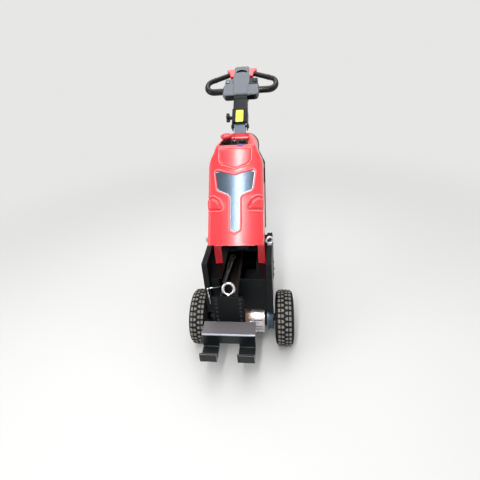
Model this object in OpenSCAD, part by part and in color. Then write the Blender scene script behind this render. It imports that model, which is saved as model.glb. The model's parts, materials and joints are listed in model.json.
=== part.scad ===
// Walk-behind electric tow tug: steel frame on two drive wheels and two casters, red cover, tiller head.
// X to the right as seen from the hitch end, Y back towards the operator, Z up from the floor.
// Lengths along Y are written from the drive axle; axle_y then centres the whole machine.

/* [Drive wheels] */
// Radius of a drive tyre
tyre_r = 133; // [120:1:145]
// Width of a drive tyre
tyre_w = 88; // [76:1:96]
// Width over both drive tyres
over_tyres = 496; // [490:1:540]
// Radius of a drive wheel's rim where the tyre sits
rim_r = 62; // [54:1:74]
// Radius of the hub of a drive wheel
hub_r = 27; // [24:1:36]
// Radius of the stub axles
stub_r = 12.5; // [9:0.5:17]
// Running clearance round every shaft
run_gap = 0.05; // [0.02:0.01:0.08]

/* [Casters] */
// Radius of a caster wheel
caster_r = 50; // [42:1:54]
// Width of a caster wheel
caster_w = 32; // [26:1:40]
// Trail of a caster, from swivel axis to wheel axle
caster_trail = 32; // [20:1:40]
// Height of a caster from the floor to the top of its fork
caster_h = 134; // [128:1:142]
// Distance of a swivel axis from the centre plane
caster_x = 108; // [104:1:114]
// Radius of a caster's king pin
king_r = 8; // [6:0.5:10]

/* [Frame] */
// Distance of a side plate's outer face from the centre plane
plate_x = 152; // [148:1:156]
// Thickness of the side plates
plate_t = 5; // [4:0.5:8]
// Width of the folded flange along a side plate's edges
flange_w = 24; // [18:1:30]
// Front of the side plates, ahead of the drive axle
plate_front = 66; // [60:1:75]
// Height of the side plates' top edge
plate_top = 502; // [495:1:520]
// Height of the side plates' lower edge over the drive axle
plate_low = 222; // [214:1:230]
// Place of the eye bolts behind the drive axle
eye_y = 84; // [76:1:92]
// Place behind the drive axle where the side plates' top edge starts to fall
plate_turn = 194; // [186:1:202]
// Back of the side plates behind the drive axle
plate_back = 366; // [355:1:380]
// Height of the side plates' back corner
plate_back_top = 362; // [340:1:380]
// Height of the deck's upper face
deck_z = 402; // [395:1:410]
// Thickness of the deck and of the front panel
deck_t = 4; // [3:0.5:6]
// Set-back of the front panel behind the side plates' front edge
panel_back = 24; // [16:1:30]

/* [Drive unit] */
// Radius of the axle tube
axle_tube_r = 32; // [28:1:38]
// Radius of the gear housing
gear_r = 70; // [64:1:74]
// Place of the gear housing's inner end, right of the centre plane
gear_x0 = 18; // [10:1:24]
// Place of the step to its larger part
gear_step = 48; // [42:1:56]
// Place of the gear housing's outer end, where the axle bracket stands
gear_x1 = 111; // [106:1:114]
// Radius of the drive motor
motor_r = 44; // [40:1:46]
// Length of the drive motor
motor_len = 176; // [150:1:185]
// Angle of the motor's axis above the horizontal
motor_rise = 34; // [28:1:38]

/* [Hitch] */
// Shift of arm and hitch to the left of the centre plane
hitch_x = 42; // [38:1:46]
// Distance of the hitch plate's front face ahead of the drive axle
hitch_ahead = 120; // [116:1:126]
// Width over the draw arm's two plates
arm_w = 76; // [70:1:80]
// Thickness of the draw arm's plates
arm_t = 10; // [8:1:12]
// Height of the draw arm's top edge
arm_top = 350; // [342:1:358]
// Height of the draw arm's plates
arm_h = 56; // [50:1:60]
// Width of the hitch plate
hitch_w = 140; // [132:1:150]
// Thickness of the hitch plate
hitch_t = 8; // [6:1:10]
// Height of the hitch plate's top edge
hitch_top = 365; // [358:1:372]
// Radius of the small holes in the hitch plate
hitch_hole_r = 4.5; // [3:0.5:6]
// Pitch of the small holes up the hitch plate
hitch_pitch = 24; // [20:1:26]
// Distance between the two columns of small holes
hitch_cols = 106; // [96:1:112]
// Height of the hook bracket's top face
hook_top = 220; // [214:1:226]
// Width of the hook bracket
hook_w = 236; // [230:1:240]
// Depth of the hook bracket's top plate
hook_deep = 76; // [70:1:84]
// Thickness of the hook bracket's plate
hook_t = 8; // [6:1:10]
// Drop from the hook bracket's top face to its shelves' upper face
hook_drop = 72; // [66:1:80]
// Width of the notch between the two hooks
hook_notch = 88; // [80:1:100]
// Height of the notch's top over the hooks' shelves
notch_rise = 18; // [14:1:24]
// Depth of the hooks' shelves
shelf_deep = 78; // [70:1:88]
// Height of the hooks' upturned lips over the shelf
lip_h = 40; // [30:1:46]
// Radius of the tow ring to the middle of its bar
ring_r = 25; // [23:1:26]
// Radius of the tow ring's bar
ring_bar = 7; // [6:0.5:7.5]

/* [Cover] */
// Half width of the cover
cover_x = 120; // [114:1:122]
// Wall of the cover
cover_t = 4; // [3:0.5:6]
// Lean of the cover's front face from the vertical
cover_lean = 37; // [35:0.5:38]
// Place of the cover's lower front edge ahead of the drive axle
cover_front = 55; // [50:1:60]
// Height of the cover's lower front edge
cover_low = 588; // [582:1:594]
// Height of the crown's flat top
crown_z = 941; // [936:1:946]
// Half width of the crown
crown_x = 92; // [88:1:96]
// Radius of the crown's corners at the back
crown_r = 60; // [50:1:64]
// Distance up the front face to the shoulders
shoulder_w = 370; // [364:1:378]
// Depth of the cover at its foot, square to the front face
cover_deep = 223; // [216:1:228]
// Depth of the cover below its crown, square to the front face
cover_thin = 186; // [180:1:190]
// Width of the cover's two legs, seen from the front
leg_w = 34; // [28:1:40]

/* [Tiller] */
// Lean of the tiller from the vertical
tiller_lean = 50; // [48:0.5:52]
// Width of the post behind the cover
post_w = 56; // [50:1:58]
// Depth of the post behind the cover
post_d = 30; // [26:1:34]
// Distance up the post's lean from the cover's rear foot to the tilt pivot
post_len = 510; // [500:1:520]
// Radius of the tilt pivot's bolt
pivot_r = 6; // [5:0.5:8]
// Width of the tiller's sleeve
sleeve_w = 69; // [67:1:72]
// Width of the collar round the sleeve's lower end
collar_w = 77; // [76:1:82]
// Length of the collar up from the pivot
collar_len = 88; // [80:1:96]
// Depth of the tiller's sleeve
sleeve_d = 56; // [50:1:60]
// Length of the tiller's sleeve from the pivot to the head
sleeve_len = 165; // [155:1:175]
// Wall of the tiller's sleeve
sleeve_t = 4; // [3:0.5:5]
// Width of the head's two wings
base_w = 190; // [180:1:200]
// Length of the wings along the tiller
base_len = 86; // [78:1:94]
// Distance from the tiller's middle to the head's upper face
head_d = 36; // [32:1:40]
// Extra tilt of the head against the sleeve
head_tilt = 8; // [4:1:12]
// Length of the head from the sleeve's end to the tip of its nose
head_len = 247; // [240:1:256]
// Width of the head's nose
nose_w = 77; // [72:1:84]
// Width of the head where it swells above the wings
swell_w = 92; // [86:1:96]
// Half width over the handles
grip_x = 196; // [190:1:204]
// Radius of the handle tubes
grip_r = 13; // [11:0.5:15]

/* [Hidden] */
$fn = 64;
eps = 0.02;

// Main places, in millimetres behind the drive axle and above the floor
head_angle = tiller_lean + head_tilt;
tyre_x = over_tyres / 2 - tyre_w / 2;
plate_in = plate_x - plate_t;
panel_y = panel_back - plate_front;
caster_gap = 1;
caster_plate_t = 8;
beam_z = caster_h + caster_gap + caster_plate_t;
beam_t = 5;
rear_inset = 3;
back_in = plate_back - rear_inset;
caster_back = 29;
caster_y = back_in - caster_back;
deck_end = 240;
slot_end = 180;
slot_left = -75;
slot_front = 46;
slot_right = 76;
slot_turn = 28;
back_t = 5;
foot_w = 103;
thin_w = 438;
back_slope = (cover_deep - cover_thin) / (thin_w - foot_w);
rear_lean = cover_lean - atan(back_slope);
foot_y = foot_w * sin(cover_lean) + cover_deep * cos(cover_lean) - cover_front;
foot_z = cover_low + foot_w * cos(cover_lean) - cover_deep * sin(cover_lean);
pivot_v = back_t + post_d / 2;
pivot_y = foot_y + pivot_v * cos(rear_lean) + post_len * sin(rear_lean);
pivot_z = foot_z - pivot_v * sin(rear_lean) + post_len * cos(rear_lean);
nose_r = 20;
head_y = pivot_y + sleeve_len * sin(tiller_lean);
head_z = pivot_z + sleeve_len * cos(tiller_lean);
nose_end = head_y + (head_len - nose_r) * sin(head_angle) + nose_r;
toe_end = hitch_ahead + hook_deep + shelf_deep;
// Longer than any sub-part, for forms that are cut to an outline
reach = 700;
// Puts the drive axle where the machine's front and back ends lie equally far from the origin
axle_y = (toe_end - nose_end) / 2;

// Arc of n steps that rounds corner b between a and c
function corner(a, b, c, r, n = 6) = r == 0 ? [b] :
    let (u = (a - b) / norm(a - b), w = (c - b) / norm(c - b), half = acos(u * w) / 2,
         o = b + (u + w) / norm(u + w) * r / sin(half),
         p = b + u * r / tan(half) - o, q = b + w * r / tan(half) - o,
         a0 = atan2(p.y, p.x), turn = (atan2(q.y, q.x) - a0 + 540) % 360 - 180)
    [for (i = [0:n]) o + r * [cos(a0 + turn * i / n), sin(a0 + turn * i / n)]];

// Outline with rounded corners from rows of [across, up, radius]
function rounded(rows, n = 6) = [for (i = [0:len(rows) - 1])
    let (k = len(rows), a = rows[(i + k - 1) % k], b = rows[i], c = rows[(i + 1) % k])
    each corner([a.x, a.y], [b.x, b.y], [c.x, c.y], b.z, n)];

module at_axle() translate([0, axle_y, 0]) children();

// Outline drawn in Y and Z, x0 to x1 thick
module side_on(x0, x1) translate([x0, 0, 0]) rotate([90, 0, 90]) linear_extrude(x1 - x0) children();

// Outline drawn in X and Z, y0 to y1 thick
module face_on(y0, y1) translate([0, y1, 0]) rotate([90, 0, 0]) linear_extrude(y1 - y0) children();

// Box from corner a to corner b
module block(a, b) translate(a) cube(b - a);

// Round bar from p to q
module bar(p, q, r) translate(p) rotate([0, acos((q - p).z / norm(q - p)), atan2((q - p).y, (q - p).x)])
    cylinder(r = r, h = norm(q - p));

// Round bar along X from x0 to x1
module pin_x(x0, x1, r, y = 0, z = 0) translate([x0, y, z]) rotate([0, 90, 0]) cylinder(r = r, h = x1 - x0);

module both() { children(); mirror([1, 0, 0]) children(); }

// Outline that is alike left and right, from the rows of its right half, bottom row first
function both_sides(rows) = concat(rows,
    [for (i = [len(rows) - 1:-1:0]) if (rows[i].x > 0) [-rows[i].x, rows[i].y, rows[i].z]]);

// Side plates: their lower edge rises from rise_start to rise_end
rise_start = 236;
rise_end = 282;
flange_end = 4;
flange_low = 8;
plate_outline = rounded([
    [-plate_front, plate_low, 6], [-plate_front, plate_top, 4], [plate_turn, plate_top, 8],
    [plate_back, plate_back_top, 8], [plate_back, beam_z, 6],
    [rise_end, beam_z, 20], [rise_start, plate_low, 20]]);

eye_stem_r = 6;

module side_plate() {
    difference() {
        union() {
            side_on(plate_in, plate_x) polygon(plate_outline);
            block([plate_x - flange_w, -plate_front, plate_top - plate_t],
                [plate_in, plate_turn - flange_end, plate_top]);
            block([plate_x - flange_w, -plate_front, plate_low + flange_low],
                [plate_in, plate_t - plate_front, plate_top - plate_t]);
        }
        translate([plate_x - flange_w / 2, eye_y, plate_top - plate_t - eps])
            cylinder(r = eye_stem_r, h = plate_t + 1);
    }
}
module side_plate_right() color([0.08, 0.09, 0.10]) at_axle() side_plate();
module side_plate_left() color([0.08, 0.09, 0.10]) at_axle() mirror([1, 0, 0]) side_plate();

// Front panel in two parts and the deck that joins them, with the slot for arm and motor
arm_left = -hitch_x - arm_w / 2;
arm_right = -hitch_x + arm_w / 2;
notch_gap = 8;
module deck_panel() color([0.10, 0.11, 0.12]) at_axle() {
    difference() {
        union() {
            face_on(panel_y, panel_y + deck_t) polygon([[-plate_in, plate_low], [plate_in, plate_low],
                [plate_in, deck_z], [-plate_in, deck_z]]);
            block([-plate_in, panel_y, deck_z - deck_t], [plate_in, deck_end, deck_z]);
        }
        translate([0, 0, deck_z - deck_t - 1]) linear_extrude(deck_t + 2) polygon([
            [slot_left, panel_y + deck_t], [slot_front, panel_y + deck_t], [slot_right, slot_turn],
            [slot_right, slot_end], [slot_left, slot_end]]);
        block([arm_left - notch_gap, panel_y - 1, plate_low - 1],
            [arm_right + notch_gap, panel_y + deck_t + 1, deck_z + 1]);
    }
}

// Closing panel that follows the side plates' back edge, from the slope down to the rear beam
slope_dir = ([plate_back, plate_back_top] - [plate_turn, plate_top])
    / norm([plate_back, plate_back_top] - [plate_turn, plate_top]);
slope_n = [slope_dir.y, -slope_dir.x];
slope_gap = 62;
slope_start = [plate_turn, plate_top] + slope_dir * slope_gap;
rear_t = 4;
// Height, at a given Y, of the line that lies n under the plates' sloping edge
function under_slope(n, y) =
    let (p = slope_start + slope_n * n) p.y + (y - p.x) * slope_dir.y / slope_dir.x;
module rear_panel() color([0.07, 0.08, 0.09]) at_axle()
    side_on(-plate_in, plate_in) polygon([
        slope_start + slope_n * rear_inset, [back_in, under_slope(rear_inset, back_in)],
        [back_in, beam_z + beam_t], [back_in - rear_t, beam_z + beam_t],
        [back_in - rear_t, under_slope(rear_inset + rear_t, back_in - rear_t)],
        slope_start + slope_n * (rear_inset + rear_t)]);

rear_beam_w = 67;
module rear_beam() color([0.08, 0.09, 0.10]) at_axle()
    block([-plate_in, back_in - rear_beam_w, beam_z], [plate_in, back_in, beam_z + beam_t]);

// Drive axle: each bracket carries the axle in a round boss and bolts to a side plate with its foot
bracket_t = 10;
bracket_in = gear_x1;
bracket_out = bracket_in + bracket_t;
bracket_r = 40;
bracket_front = 36;
bracket_back = 62;
bracket_drop = 20;
foot_low = plate_low + 2;
foot_top = foot_low + 16;
module axle_brackets() color([0.06, 0.06, 0.07]) at_axle() both() difference() {
    union() {
        side_on(bracket_in, bracket_out) polygon(rounded([
            [-bracket_front, tyre_r - bracket_drop, 0], [-bracket_front, foot_top, 0],
            [bracket_back, foot_top, 0], [bracket_back, tyre_r - bracket_drop, 20]]));
        pin_x(bracket_in, bracket_out, bracket_r, 0, tyre_r);
        block([bracket_out, -bracket_front, foot_low], [plate_in, bracket_back, foot_top]);
    }
    pin_x(bracket_in - 1, bracket_out + 1, stub_r, 0, tyre_r);
}

// Stub axles run from the brackets through the wheels' hubs, with a nut outside
hub_in = tyre_x - 30;
hub_out = tyre_x + 26;
hub_gap = 0.5;
nut_r = 18;
nut_t = 9.5;
nut_lap = 2;
module stub_axles() color([0.55, 0.56, 0.58]) at_axle() both() {
    pin_x(bracket_in, hub_out + nut_t - nut_lap, stub_r, 0, tyre_r);
    pin_x(bracket_out, hub_in - hub_gap, collar_r, 0, tyre_r);
    pin_x(hub_out + hub_gap, hub_out + hub_gap + nut_t, nut_r, 0, tyre_r);
}

tube_flange_t = 8;
tube_flange_r = axle_tube_r + 9;
module axle_tube() color([0.45, 0.47, 0.50]) at_axle() union() {
    pin_x(-bracket_in, gear_x0, axle_tube_r, 0, tyre_r);
    pin_x(-bracket_in, tube_flange_t - bracket_in, tube_flange_r, 0, tyre_r);
}

// Gear housing: a small and a large drum, the large one between two rings with ribs along it
gear_ribs = 10;
gear_wall = 4;
rib_t = 6;
ring_t = 8;
// Radius, round the motor's axis, of the flat that the motor stands on
motor_seat_r = motor_r + 40;
module gear_housing() color([0.72, 0.73, 0.74]) at_axle() difference() {
    union() {
        pin_x(gear_x0, gear_step, gear_r - 2 * gear_wall, 0, tyre_r);
        pin_x(gear_step, gear_x1, gear_r - gear_wall, 0, tyre_r);
        for (x = [gear_step, gear_x1 - ring_t]) pin_x(x, x + ring_t, gear_r, 0, tyre_r);
        for (i = [0:gear_ribs - 1]) translate([gear_step, 0, tyre_r]) rotate([i * 360 / gear_ribs, 0, 0])
            block([ring_t - 1, -rib_t / 2, 0], [gear_x1 - gear_step - ring_t + 1, rib_t / 2, gear_r - 1]);
    }
    motor_place() cylinder(r = motor_seat_r, h = motor_len);
}

// Brake drum outside the right bracket, round the stub axle's collar
drum_r = 60;
drum_w = 29;
drum_rim_w = 12;
drum_rim_h = 5;
collar_r = stub_r + 6;
module brake_drum() color([0.30, 0.34, 0.38]) at_axle() difference() {
    union() {
        pin_x(bracket_out, bracket_out + drum_rim_w, drum_r, 0, tyre_r);
        pin_x(bracket_out, bracket_out + drum_w, drum_r - drum_rim_h, 0, tyre_r);
    }
    pin_x(bracket_out - 1, bracket_out + drum_w + 1, collar_r, 0, tyre_r);
}

// The motor leans up and back from the gear housing, between arm and deck
motor_x = 40;
motor_off = 54;
motor_cap_t = 14;
motor_cap_r = motor_r - 5;
module motor_place() translate([motor_x, 0, tyre_r]) rotate([motor_rise - 90, 0, 0])
    translate([0, 0, motor_off]) children();
module drive_motor() color([0.12, 0.12, 0.13]) at_axle() motor_place() {
    cylinder(r = motor_r, h = motor_len - motor_cap_t);
    translate([0, 0, motor_len - motor_cap_t]) cylinder(r = motor_cap_r, h = motor_cap_t);
}

// Draw arm: two plates and a web, from the hitch plate back under the deck
arm_end = 292;
arm_low = arm_top - arm_h;
arm_front_h = 130;
web_short = 24;
web_t = 6;
module draw_arm() color([0.22, 0.19, 0.17]) at_axle() {
    for (x = [arm_left, arm_right - arm_t]) side_on(x, x + arm_t)
        polygon(rounded([[hitch_y, arm_top - arm_front_h, 0], [hitch_y, arm_top, 0], [arm_end, arm_top, 20],
            [arm_end, arm_low, 20], [-40, arm_low, 40]]));
    block([arm_left + arm_t, hitch_y, arm_low], [arm_right - arm_t, arm_end - web_short, arm_low + web_t]);
    block([arm_left + arm_t, hitch_y, arm_low + web_t], [arm_right - arm_t, ring_y, ring_block_z]);
}

// Cross member that carries the arm between the side plates
arm_beam_y = 222;
arm_beam_w = 40;
arm_beam_t = 10;
module arm_beam() color([0.08, 0.09, 0.10]) at_axle()
    block([-plate_in, arm_beam_y, arm_low - arm_beam_t], [plate_in, arm_beam_y + arm_beam_w, arm_low]);

// Hitch plate with two columns of small holes
hitch_y = hitch_t - hitch_ahead;
hitch_rows = 6;
top_hole = 14;
hitch_low = hook_top - hook_t;
module hitch_plate() color([0.08, 0.09, 0.10]) at_axle() difference() {
    face_on(-hitch_ahead, hitch_y) translate([-hitch_x, 0]) polygon(rounded([
        [-hitch_w / 2, hitch_low, 0], [hitch_w / 2, hitch_low, 0],
        [hitch_w / 2, hitch_top, 10], [-hitch_w / 2, hitch_top, 10]]));
    for (row = [0:hitch_rows - 1], col = [-1, 1])
        translate([-hitch_x + col * hitch_cols / 2, hitch_y + 1, hitch_top - top_hole - row * hitch_pitch])
            rotate([90, 0, 0]) cylinder(r = hitch_hole_r, h = hitch_t + 2);
}

// Hook bracket: top plate, drop plate with its notch, two shelves with upturned lips
hook_front = -hitch_ahead - hook_deep;
shelf_z = hook_top - hook_drop;
lip_y = hook_front - shelf_deep + hook_t;
hook_bend = 6;
module hook_bracket() color([0.10, 0.10, 0.11]) at_axle() {
    difference() {
        side_on(-hitch_x - hook_w / 2, -hitch_x + hook_w / 2) polygon(rounded([
            [-hitch_ahead, hook_top, 0], [hook_front, hook_top, hook_bend],
            [hook_front, shelf_z, 0], [lip_y, shelf_z, 0], [lip_y, shelf_z + lip_h, 0],
            [lip_y - hook_t, shelf_z + lip_h, 0], [lip_y - hook_t, shelf_z - hook_t, hook_bend],
            [hook_front + hook_t, shelf_z - hook_t, 0], [hook_front + hook_t, hook_top - hook_t, 0],
            [-hitch_ahead, hook_top - hook_t, 0]]));
        block([-hitch_x - hook_notch / 2, lip_y - hook_t - 1, shelf_z - hook_t - 1],
            [-hitch_x + hook_notch / 2, hook_front - 1, shelf_z + lip_h + 1]);
        block([-hitch_x - hook_notch / 2, hook_front - 2, shelf_z - hook_t - 1],
            [-hitch_x + hook_notch / 2, hook_front + hook_t + 1, shelf_z + notch_rise]);
    }
}

// Tow ring: a forged eye that leans back behind the hitch plate, its shank seated on a block in the arm
ring_behind = 36;
ring_y = hitch_y + ring_behind;
ring_z = arm_top + 24;
ring_lean = 30;
ring_block_z = arm_top - 20;
shank_len = 60;
module tow_ring() color([0.78, 0.79, 0.80]) at_axle() difference() {
    translate([-hitch_x, ring_y, ring_z]) rotate([90 - ring_lean, 0, 0]) {
        rotate_extrude() translate([ring_r, 0]) circle(r = ring_bar);
        translate([0, -ring_r, 0]) rotate([90, 0, 0]) cylinder(r = ring_bar + 1, h = shank_len);
    }
    block([arm_left, ring_y - 2 * shank_len, ring_block_z - shank_len],
        [arm_right, ring_y + ring_r, ring_block_z]);
}

// Strap with a slot and an eye that lies on the arm's left plate
strap_t = 6;
strap_len = 205;
strap_eye_r = 17;
strap_hole_r = 9;
strap_turn = 5;
strap_start = [arm_left + 6, -4, arm_top];
module hitch_lever() color([0.35, 0.36, 0.37]) at_axle()
    translate(strap_start) rotate([0, 0, -strap_turn]) linear_extrude(strap_t) difference() {
        union() {
            polygon(rounded(both_sides([[9, 0, 0], [9, 60, 20], [12, strap_len, 0]])));
            translate([0, strap_len]) circle(r = strap_eye_r);
        }
        translate([0, strap_len]) circle(r = strap_hole_r);
        polygon(rounded([[-3, 90, 3], [3.5, 90, 3], [5, 160, 4], [-5, 160, 4]]));
    }

// Wire from the strap's end to the linch pin that hangs beside the hitch plate
wire_r = 1.5;
wire_route = [strap_start + [0, 0, strap_t / 2], [-76, -26, 356], [-82, -52, 368], [-100, -72, 378],
    [-122, -80, 382], [-137, -80, 376], [-136, -80, 360], [-133, -80, 340]];
wire_steps = 3;
wire_sides = 8;
// Direction from which the places round the wire are counted
wire_from = [0.3, 0.2, 1];
function wire_point(t) = let (i = min(floor(t), len(wire_route) - 2), u = t - i)
    wire_route[i] * (1 - u) + wire_route[i + 1] * u;
wire_rings = (len(wire_route) - 1) * wire_steps;
function wire_dir(k) = let (a = wire_point(max(k - 1, 0) / wire_steps),
    b = wire_point(min(k + 1, wire_rings) / wire_steps)) (b - a) / norm(b - a);
function wire_ring(k) = let (
        d = k == 0 ? [-sin(strap_turn), -cos(strap_turn), 0] : k == wire_rings ? [0, 0, -1] : wire_dir(k),
        u = cross(d, wire_from) / norm(cross(d, wire_from)), v = cross(d, u),
        c = wire_point(k / wire_steps))
    [for (j = [0:wire_sides - 1]) let (a = j * 360 / wire_sides) c + wire_r * (cos(a) * u + sin(a) * v)];
module lanyard() color([0.40, 0.41, 0.42]) at_axle() polyhedron(
    points = [for (k = [0:wire_rings]) each wire_ring(k)],
    faces = concat([[for (j = [0:wire_sides - 1]) j]],
        [for (k = [0:wire_rings - 1], j = [0:wire_sides - 1]) let (n = (j + 1) % wire_sides)
            [k * wire_sides + j, (k + 1) * wire_sides + j, (k + 1) * wire_sides + n, k * wire_sides + n]],
        [[for (j = [0:wire_sides - 1]) wire_rings * wire_sides + wire_sides - 1 - j]]));

pin_head_len = 14;
pin_head_r = 4;
pin_len = 38;
pin_r = 3;
module lanyard_pin() color([0.80, 0.81, 0.82]) at_axle() translate(wire_route[len(wire_route) - 1]) {
    translate([0, 0, -pin_head_len]) cylinder(r = pin_head_r, h = pin_head_len);
    translate([0, 0, -pin_head_len - pin_len]) cylinder(r = pin_r, h = pin_len);
}

// Cover, drawn in its own leaning frame: X across, v back from the front face, w up along it
bulge = 12;
bulge_r = (cover_x * cover_x + bulge * bulge) / (2 * bulge);
edge_r = 20;
// Angles, seen from the side, at which shoulders and crown sides rise from the front face's square
shoulder_rise = 16;
crown_tilt = 9;
crown_rise = cover_lean - crown_tilt;
ledge_x = crown_x - 2;
ledge_h = 58;
ledge_w = shoulder_w + ledge_h;
// Where a line that starts w up the front face and rises at an angle meets the cover's back
function at_back(w, rise) =
    let (v = (cover_deep - back_slope * (w - foot_w)) / (1 + back_slope * tan(rise)))
    [v, w + v * tan(rise)];
crown_w = (crown_z - cover_low) / cos(cover_lean);
crown_back = at_back(crown_w, cover_lean);
function up_back(w, rise) = norm(at_back(w, rise) - [cover_deep, foot_w]);
back_len = up_back(crown_w, cover_lean);
module cover_frame() at_axle() translate([0, -cover_front, cover_low])
    rotate([-cover_lean, 0, 0]) children();

// Side outline in v and w, moved inward by i; its foot breaks upwards at foot_break
foot_break = [105, 19, 0];
function cover_side(i) = i == 0
    ? [[0, 0, 3], foot_break, [cover_deep, foot_w, 0], concat(crown_back, 16), [0, crown_w, 22]]
    : let (top = crown_w - i / cos(cover_lean)) [[i, -reach, 0], [reach, -reach, 0],
        [reach, top + reach * tan(cover_lean), 0], [i, top + i * tan(cover_lean), 18]];
// Outlines in X and up, moved inward by i, of the shoulders and of the crown
function shoulder_outline(i) = both_sides([[cover_x - i, -reach, 0],
    [cover_x - i, shoulder_w * cos(shoulder_rise), 14], [ledge_x - i, ledge_w * cos(shoulder_rise), 0]]);
function crown_outline(i) = both_sides([[crown_x - i, -reach, 0],
    [crown_x - i, crown_back.y * cos(crown_rise) - crown_back.x * sin(crown_rise) - i, crown_r - i]]);
bow_steps = 24;
edge_steps = 6;
bow_a = asin((cover_x - edge_r) / bulge_r);
// Bowed front with rounded edges, in X and v, moved inward by i
function cover_bow(i) = concat(
    [for (k = [0:bow_steps]) let (a = bow_a - 2 * bow_a * k / bow_steps)
        [(bulge_r - i) * sin(a), bulge_r - (bulge_r - i) * cos(a)]],
    [for (k = [1:edge_steps]) let (a = bow_a + (90 - bow_a) * k / edge_steps)
        [-(cover_x - edge_r) - (edge_r - i) * sin(a), edge_v - (edge_r - i) * cos(a)]],
    [[i - cover_x, reach], [cover_x - i, reach]],
    [for (k = [edge_steps:-1:1]) let (a = bow_a + (90 - bow_a) * k / edge_steps)
        [(cover_x - edge_r) + (edge_r - i) * sin(a), edge_v - (edge_r - i) * cos(a)]]);
edge_v = bulge_r - bulge_r * cos(bow_a) + edge_r;

module cover_form(i) intersection() {
    side_on(-reach, reach) polygon(rounded(cover_side(i)));
    translate([0, 0, -reach]) linear_extrude(2 * reach) polygon(cover_bow(i));
    union() {
        rotate([shoulder_rise, 0, 0]) face_on(-reach, reach) polygon(rounded(shoulder_outline(i)));
        rotate([crown_rise, 0, 0]) face_on(-reach, reach) polygon(rounded(crown_outline(i), 12));
    }
}

// Inlay: a wide V-topped shield with a stem down the front face
inlay_deep = 3;
// Depth of the zone behind the front face in which its details are cut
front_zone = 60;
inlay_outline = rounded(both_sides([[0, 58, 0], [19.5, 70, 4], [19.5, 210, 12], [30, 222, 12],
    [75, 242, 14], [87, 331, 8], [0, 305, 0]]));
module inlay_zone() intersection() {
    face_on(-front_zone, front_zone) polygon(inlay_outline);
    difference() {
        cover_form(0);
        translate([0, inlay_deep, 0]) cover_form(0);
    }
}

// Raised shield above the inlay, and the two scoop-edged pads low on the corners
shield_up = 3;
pad_up = 4;
pad_deep = 90;
shield_outline = rounded(both_sides([[0, 332, 0], [58, 352, 8], [75, 375, 10], [75, crown_w - 14, 8]]));
pad_outline = rounded([[130, 157, 0], [66, 157, 4], [58, 163, 4], [72, 192, 16], [92, 208, 8],
    [130, 208, 0]]);
module raised() {
    intersection() {
        face_on(-front_zone, front_zone) polygon(shield_outline);
        cover_form(-shield_up);
    }
    intersection() {
        both() face_on(-front_zone, pad_deep) polygon(pad_outline);
        cover_form(-pad_up);
    }
}

// Shallow recess in each side, under the shoulder
recess_deep = 2.5;
recess_outline = rounded([[84, 196, 8], [84, 340, 10], [240, 340, 10], [200, 196, 8]]);
module side_recess() both() rotate([shoulder_rise, 0, 0])
    side_on(cover_x - recess_deep, cover_x + pad_up + 1) polygon(recess_outline);

// Opening in the crown for the control panel
pocket_left = -72;
pocket_right = 52;
pocket_front = 222;
pocket_back = 345;
pocket_deep = 14;
module pocket(top, in = 0) block([pocket_left + in, pocket_front + in, crown_z - pocket_deep],
    [pocket_right - in, pocket_back - in, top]);

leg_front = 76;
leg_back = 114;
leg_top = 560;
module cover_leg() at_axle() {
    block([cover_x - cover_t, leg_front, deck_z], [cover_x, leg_back, leg_top]);
    block([cover_x - leg_w, leg_front, deck_z], [cover_x, leg_front + cover_t, leg_top]);
}
module cover() color([0.80, 0.07, 0.09]) {
    difference() {
        cover_frame() difference() {
            union() {
                cover_form(0);
                raised();
            }
            cover_form(cover_t);
            inlay_zone();
            side_recess();
        }
        at_axle() pocket(crown_z + 1);
    }
    both() cover_leg();
}
module cover_inlay() color([0.45, 0.52, 0.58]) cover_frame() inlay_zone();

// Control tray let into the crown, with a key switch and a charge gauge
tray_wall = 2;
tray_sunk = 0.5;
tray_floor = crown_z - pocket_deep + tray_wall;
switch_y = 302;
key_x = -14;
key_r = 10;
key_h = 8;
gauge_x = 24;
gauge_r = 16;
gauge_h = 6;
module control_panel() color([0.05, 0.05, 0.06]) at_axle() {
    difference() {
        pocket(crown_z - tray_sunk);
        translate([0, 0, tray_wall]) pocket(crown_z + 1, tray_wall);
    }
    translate([key_x, switch_y, tray_floor]) cylinder(r = key_r, h = key_h);
    translate([gauge_x, switch_y, tray_floor]) cylinder(r = gauge_r, h = gauge_h);
}

// Emergency stop: a mushroom button on a collar
stop_x = -50;
stop_r = 25;
stop_neck_r = 17;
stop_neck_h = 25;
stop_rim_h = 9;
stop_dome_h = 8;
module emergency_stop() color([0.75, 0.04, 0.06]) at_axle() translate([stop_x, switch_y, tray_floor]) {
    cylinder(r = stop_neck_r, h = stop_neck_h);
    translate([0, 0, stop_neck_h]) cylinder(r = stop_r, h = stop_rim_h);
    translate([0, 0, stop_neck_h + stop_rim_h]) cylinder(r1 = stop_r, r2 = stop_neck_r, h = stop_dome_h);
}

// Back plate and post lean along the cover's back, from its foot upwards
module mast_frame() at_axle() translate([0, foot_y, foot_z]) rotate([-rear_lean, 0, 0]) children();

tray_z = 24;
tray_deep = 126;
tray_w = 168;
tray_t = 5;
back_lip = 3;
module back_plate() color([0.06, 0.06, 0.07]) mast_frame() union() {
    face_on(0, back_t) polygon(rounded(both_sides([[cover_x + back_lip, 0, 0],
        [cover_x + back_lip, up_back(shoulder_w, shoulder_rise), 12],
        [crown_x + back_lip, up_back(ledge_w, shoulder_rise), 12],
        [crown_x + back_lip, back_len, crown_r]]), 12));
    block([-tray_w / 2, -tray_deep, tray_z], [tray_w / 2, 0, tray_z + tray_t]);
}

// The battery is closed in: one plain block
battery_h = 250;
battery_gap = 4;
battery_w = 156;
module battery_pack() color([0.25, 0.26, 0.28]) mast_frame()
    block([-battery_w / 2, battery_gap - tray_deep, tray_z + tray_t],
        [battery_w / 2, -battery_gap, tray_z + tray_t + battery_h]);

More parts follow.
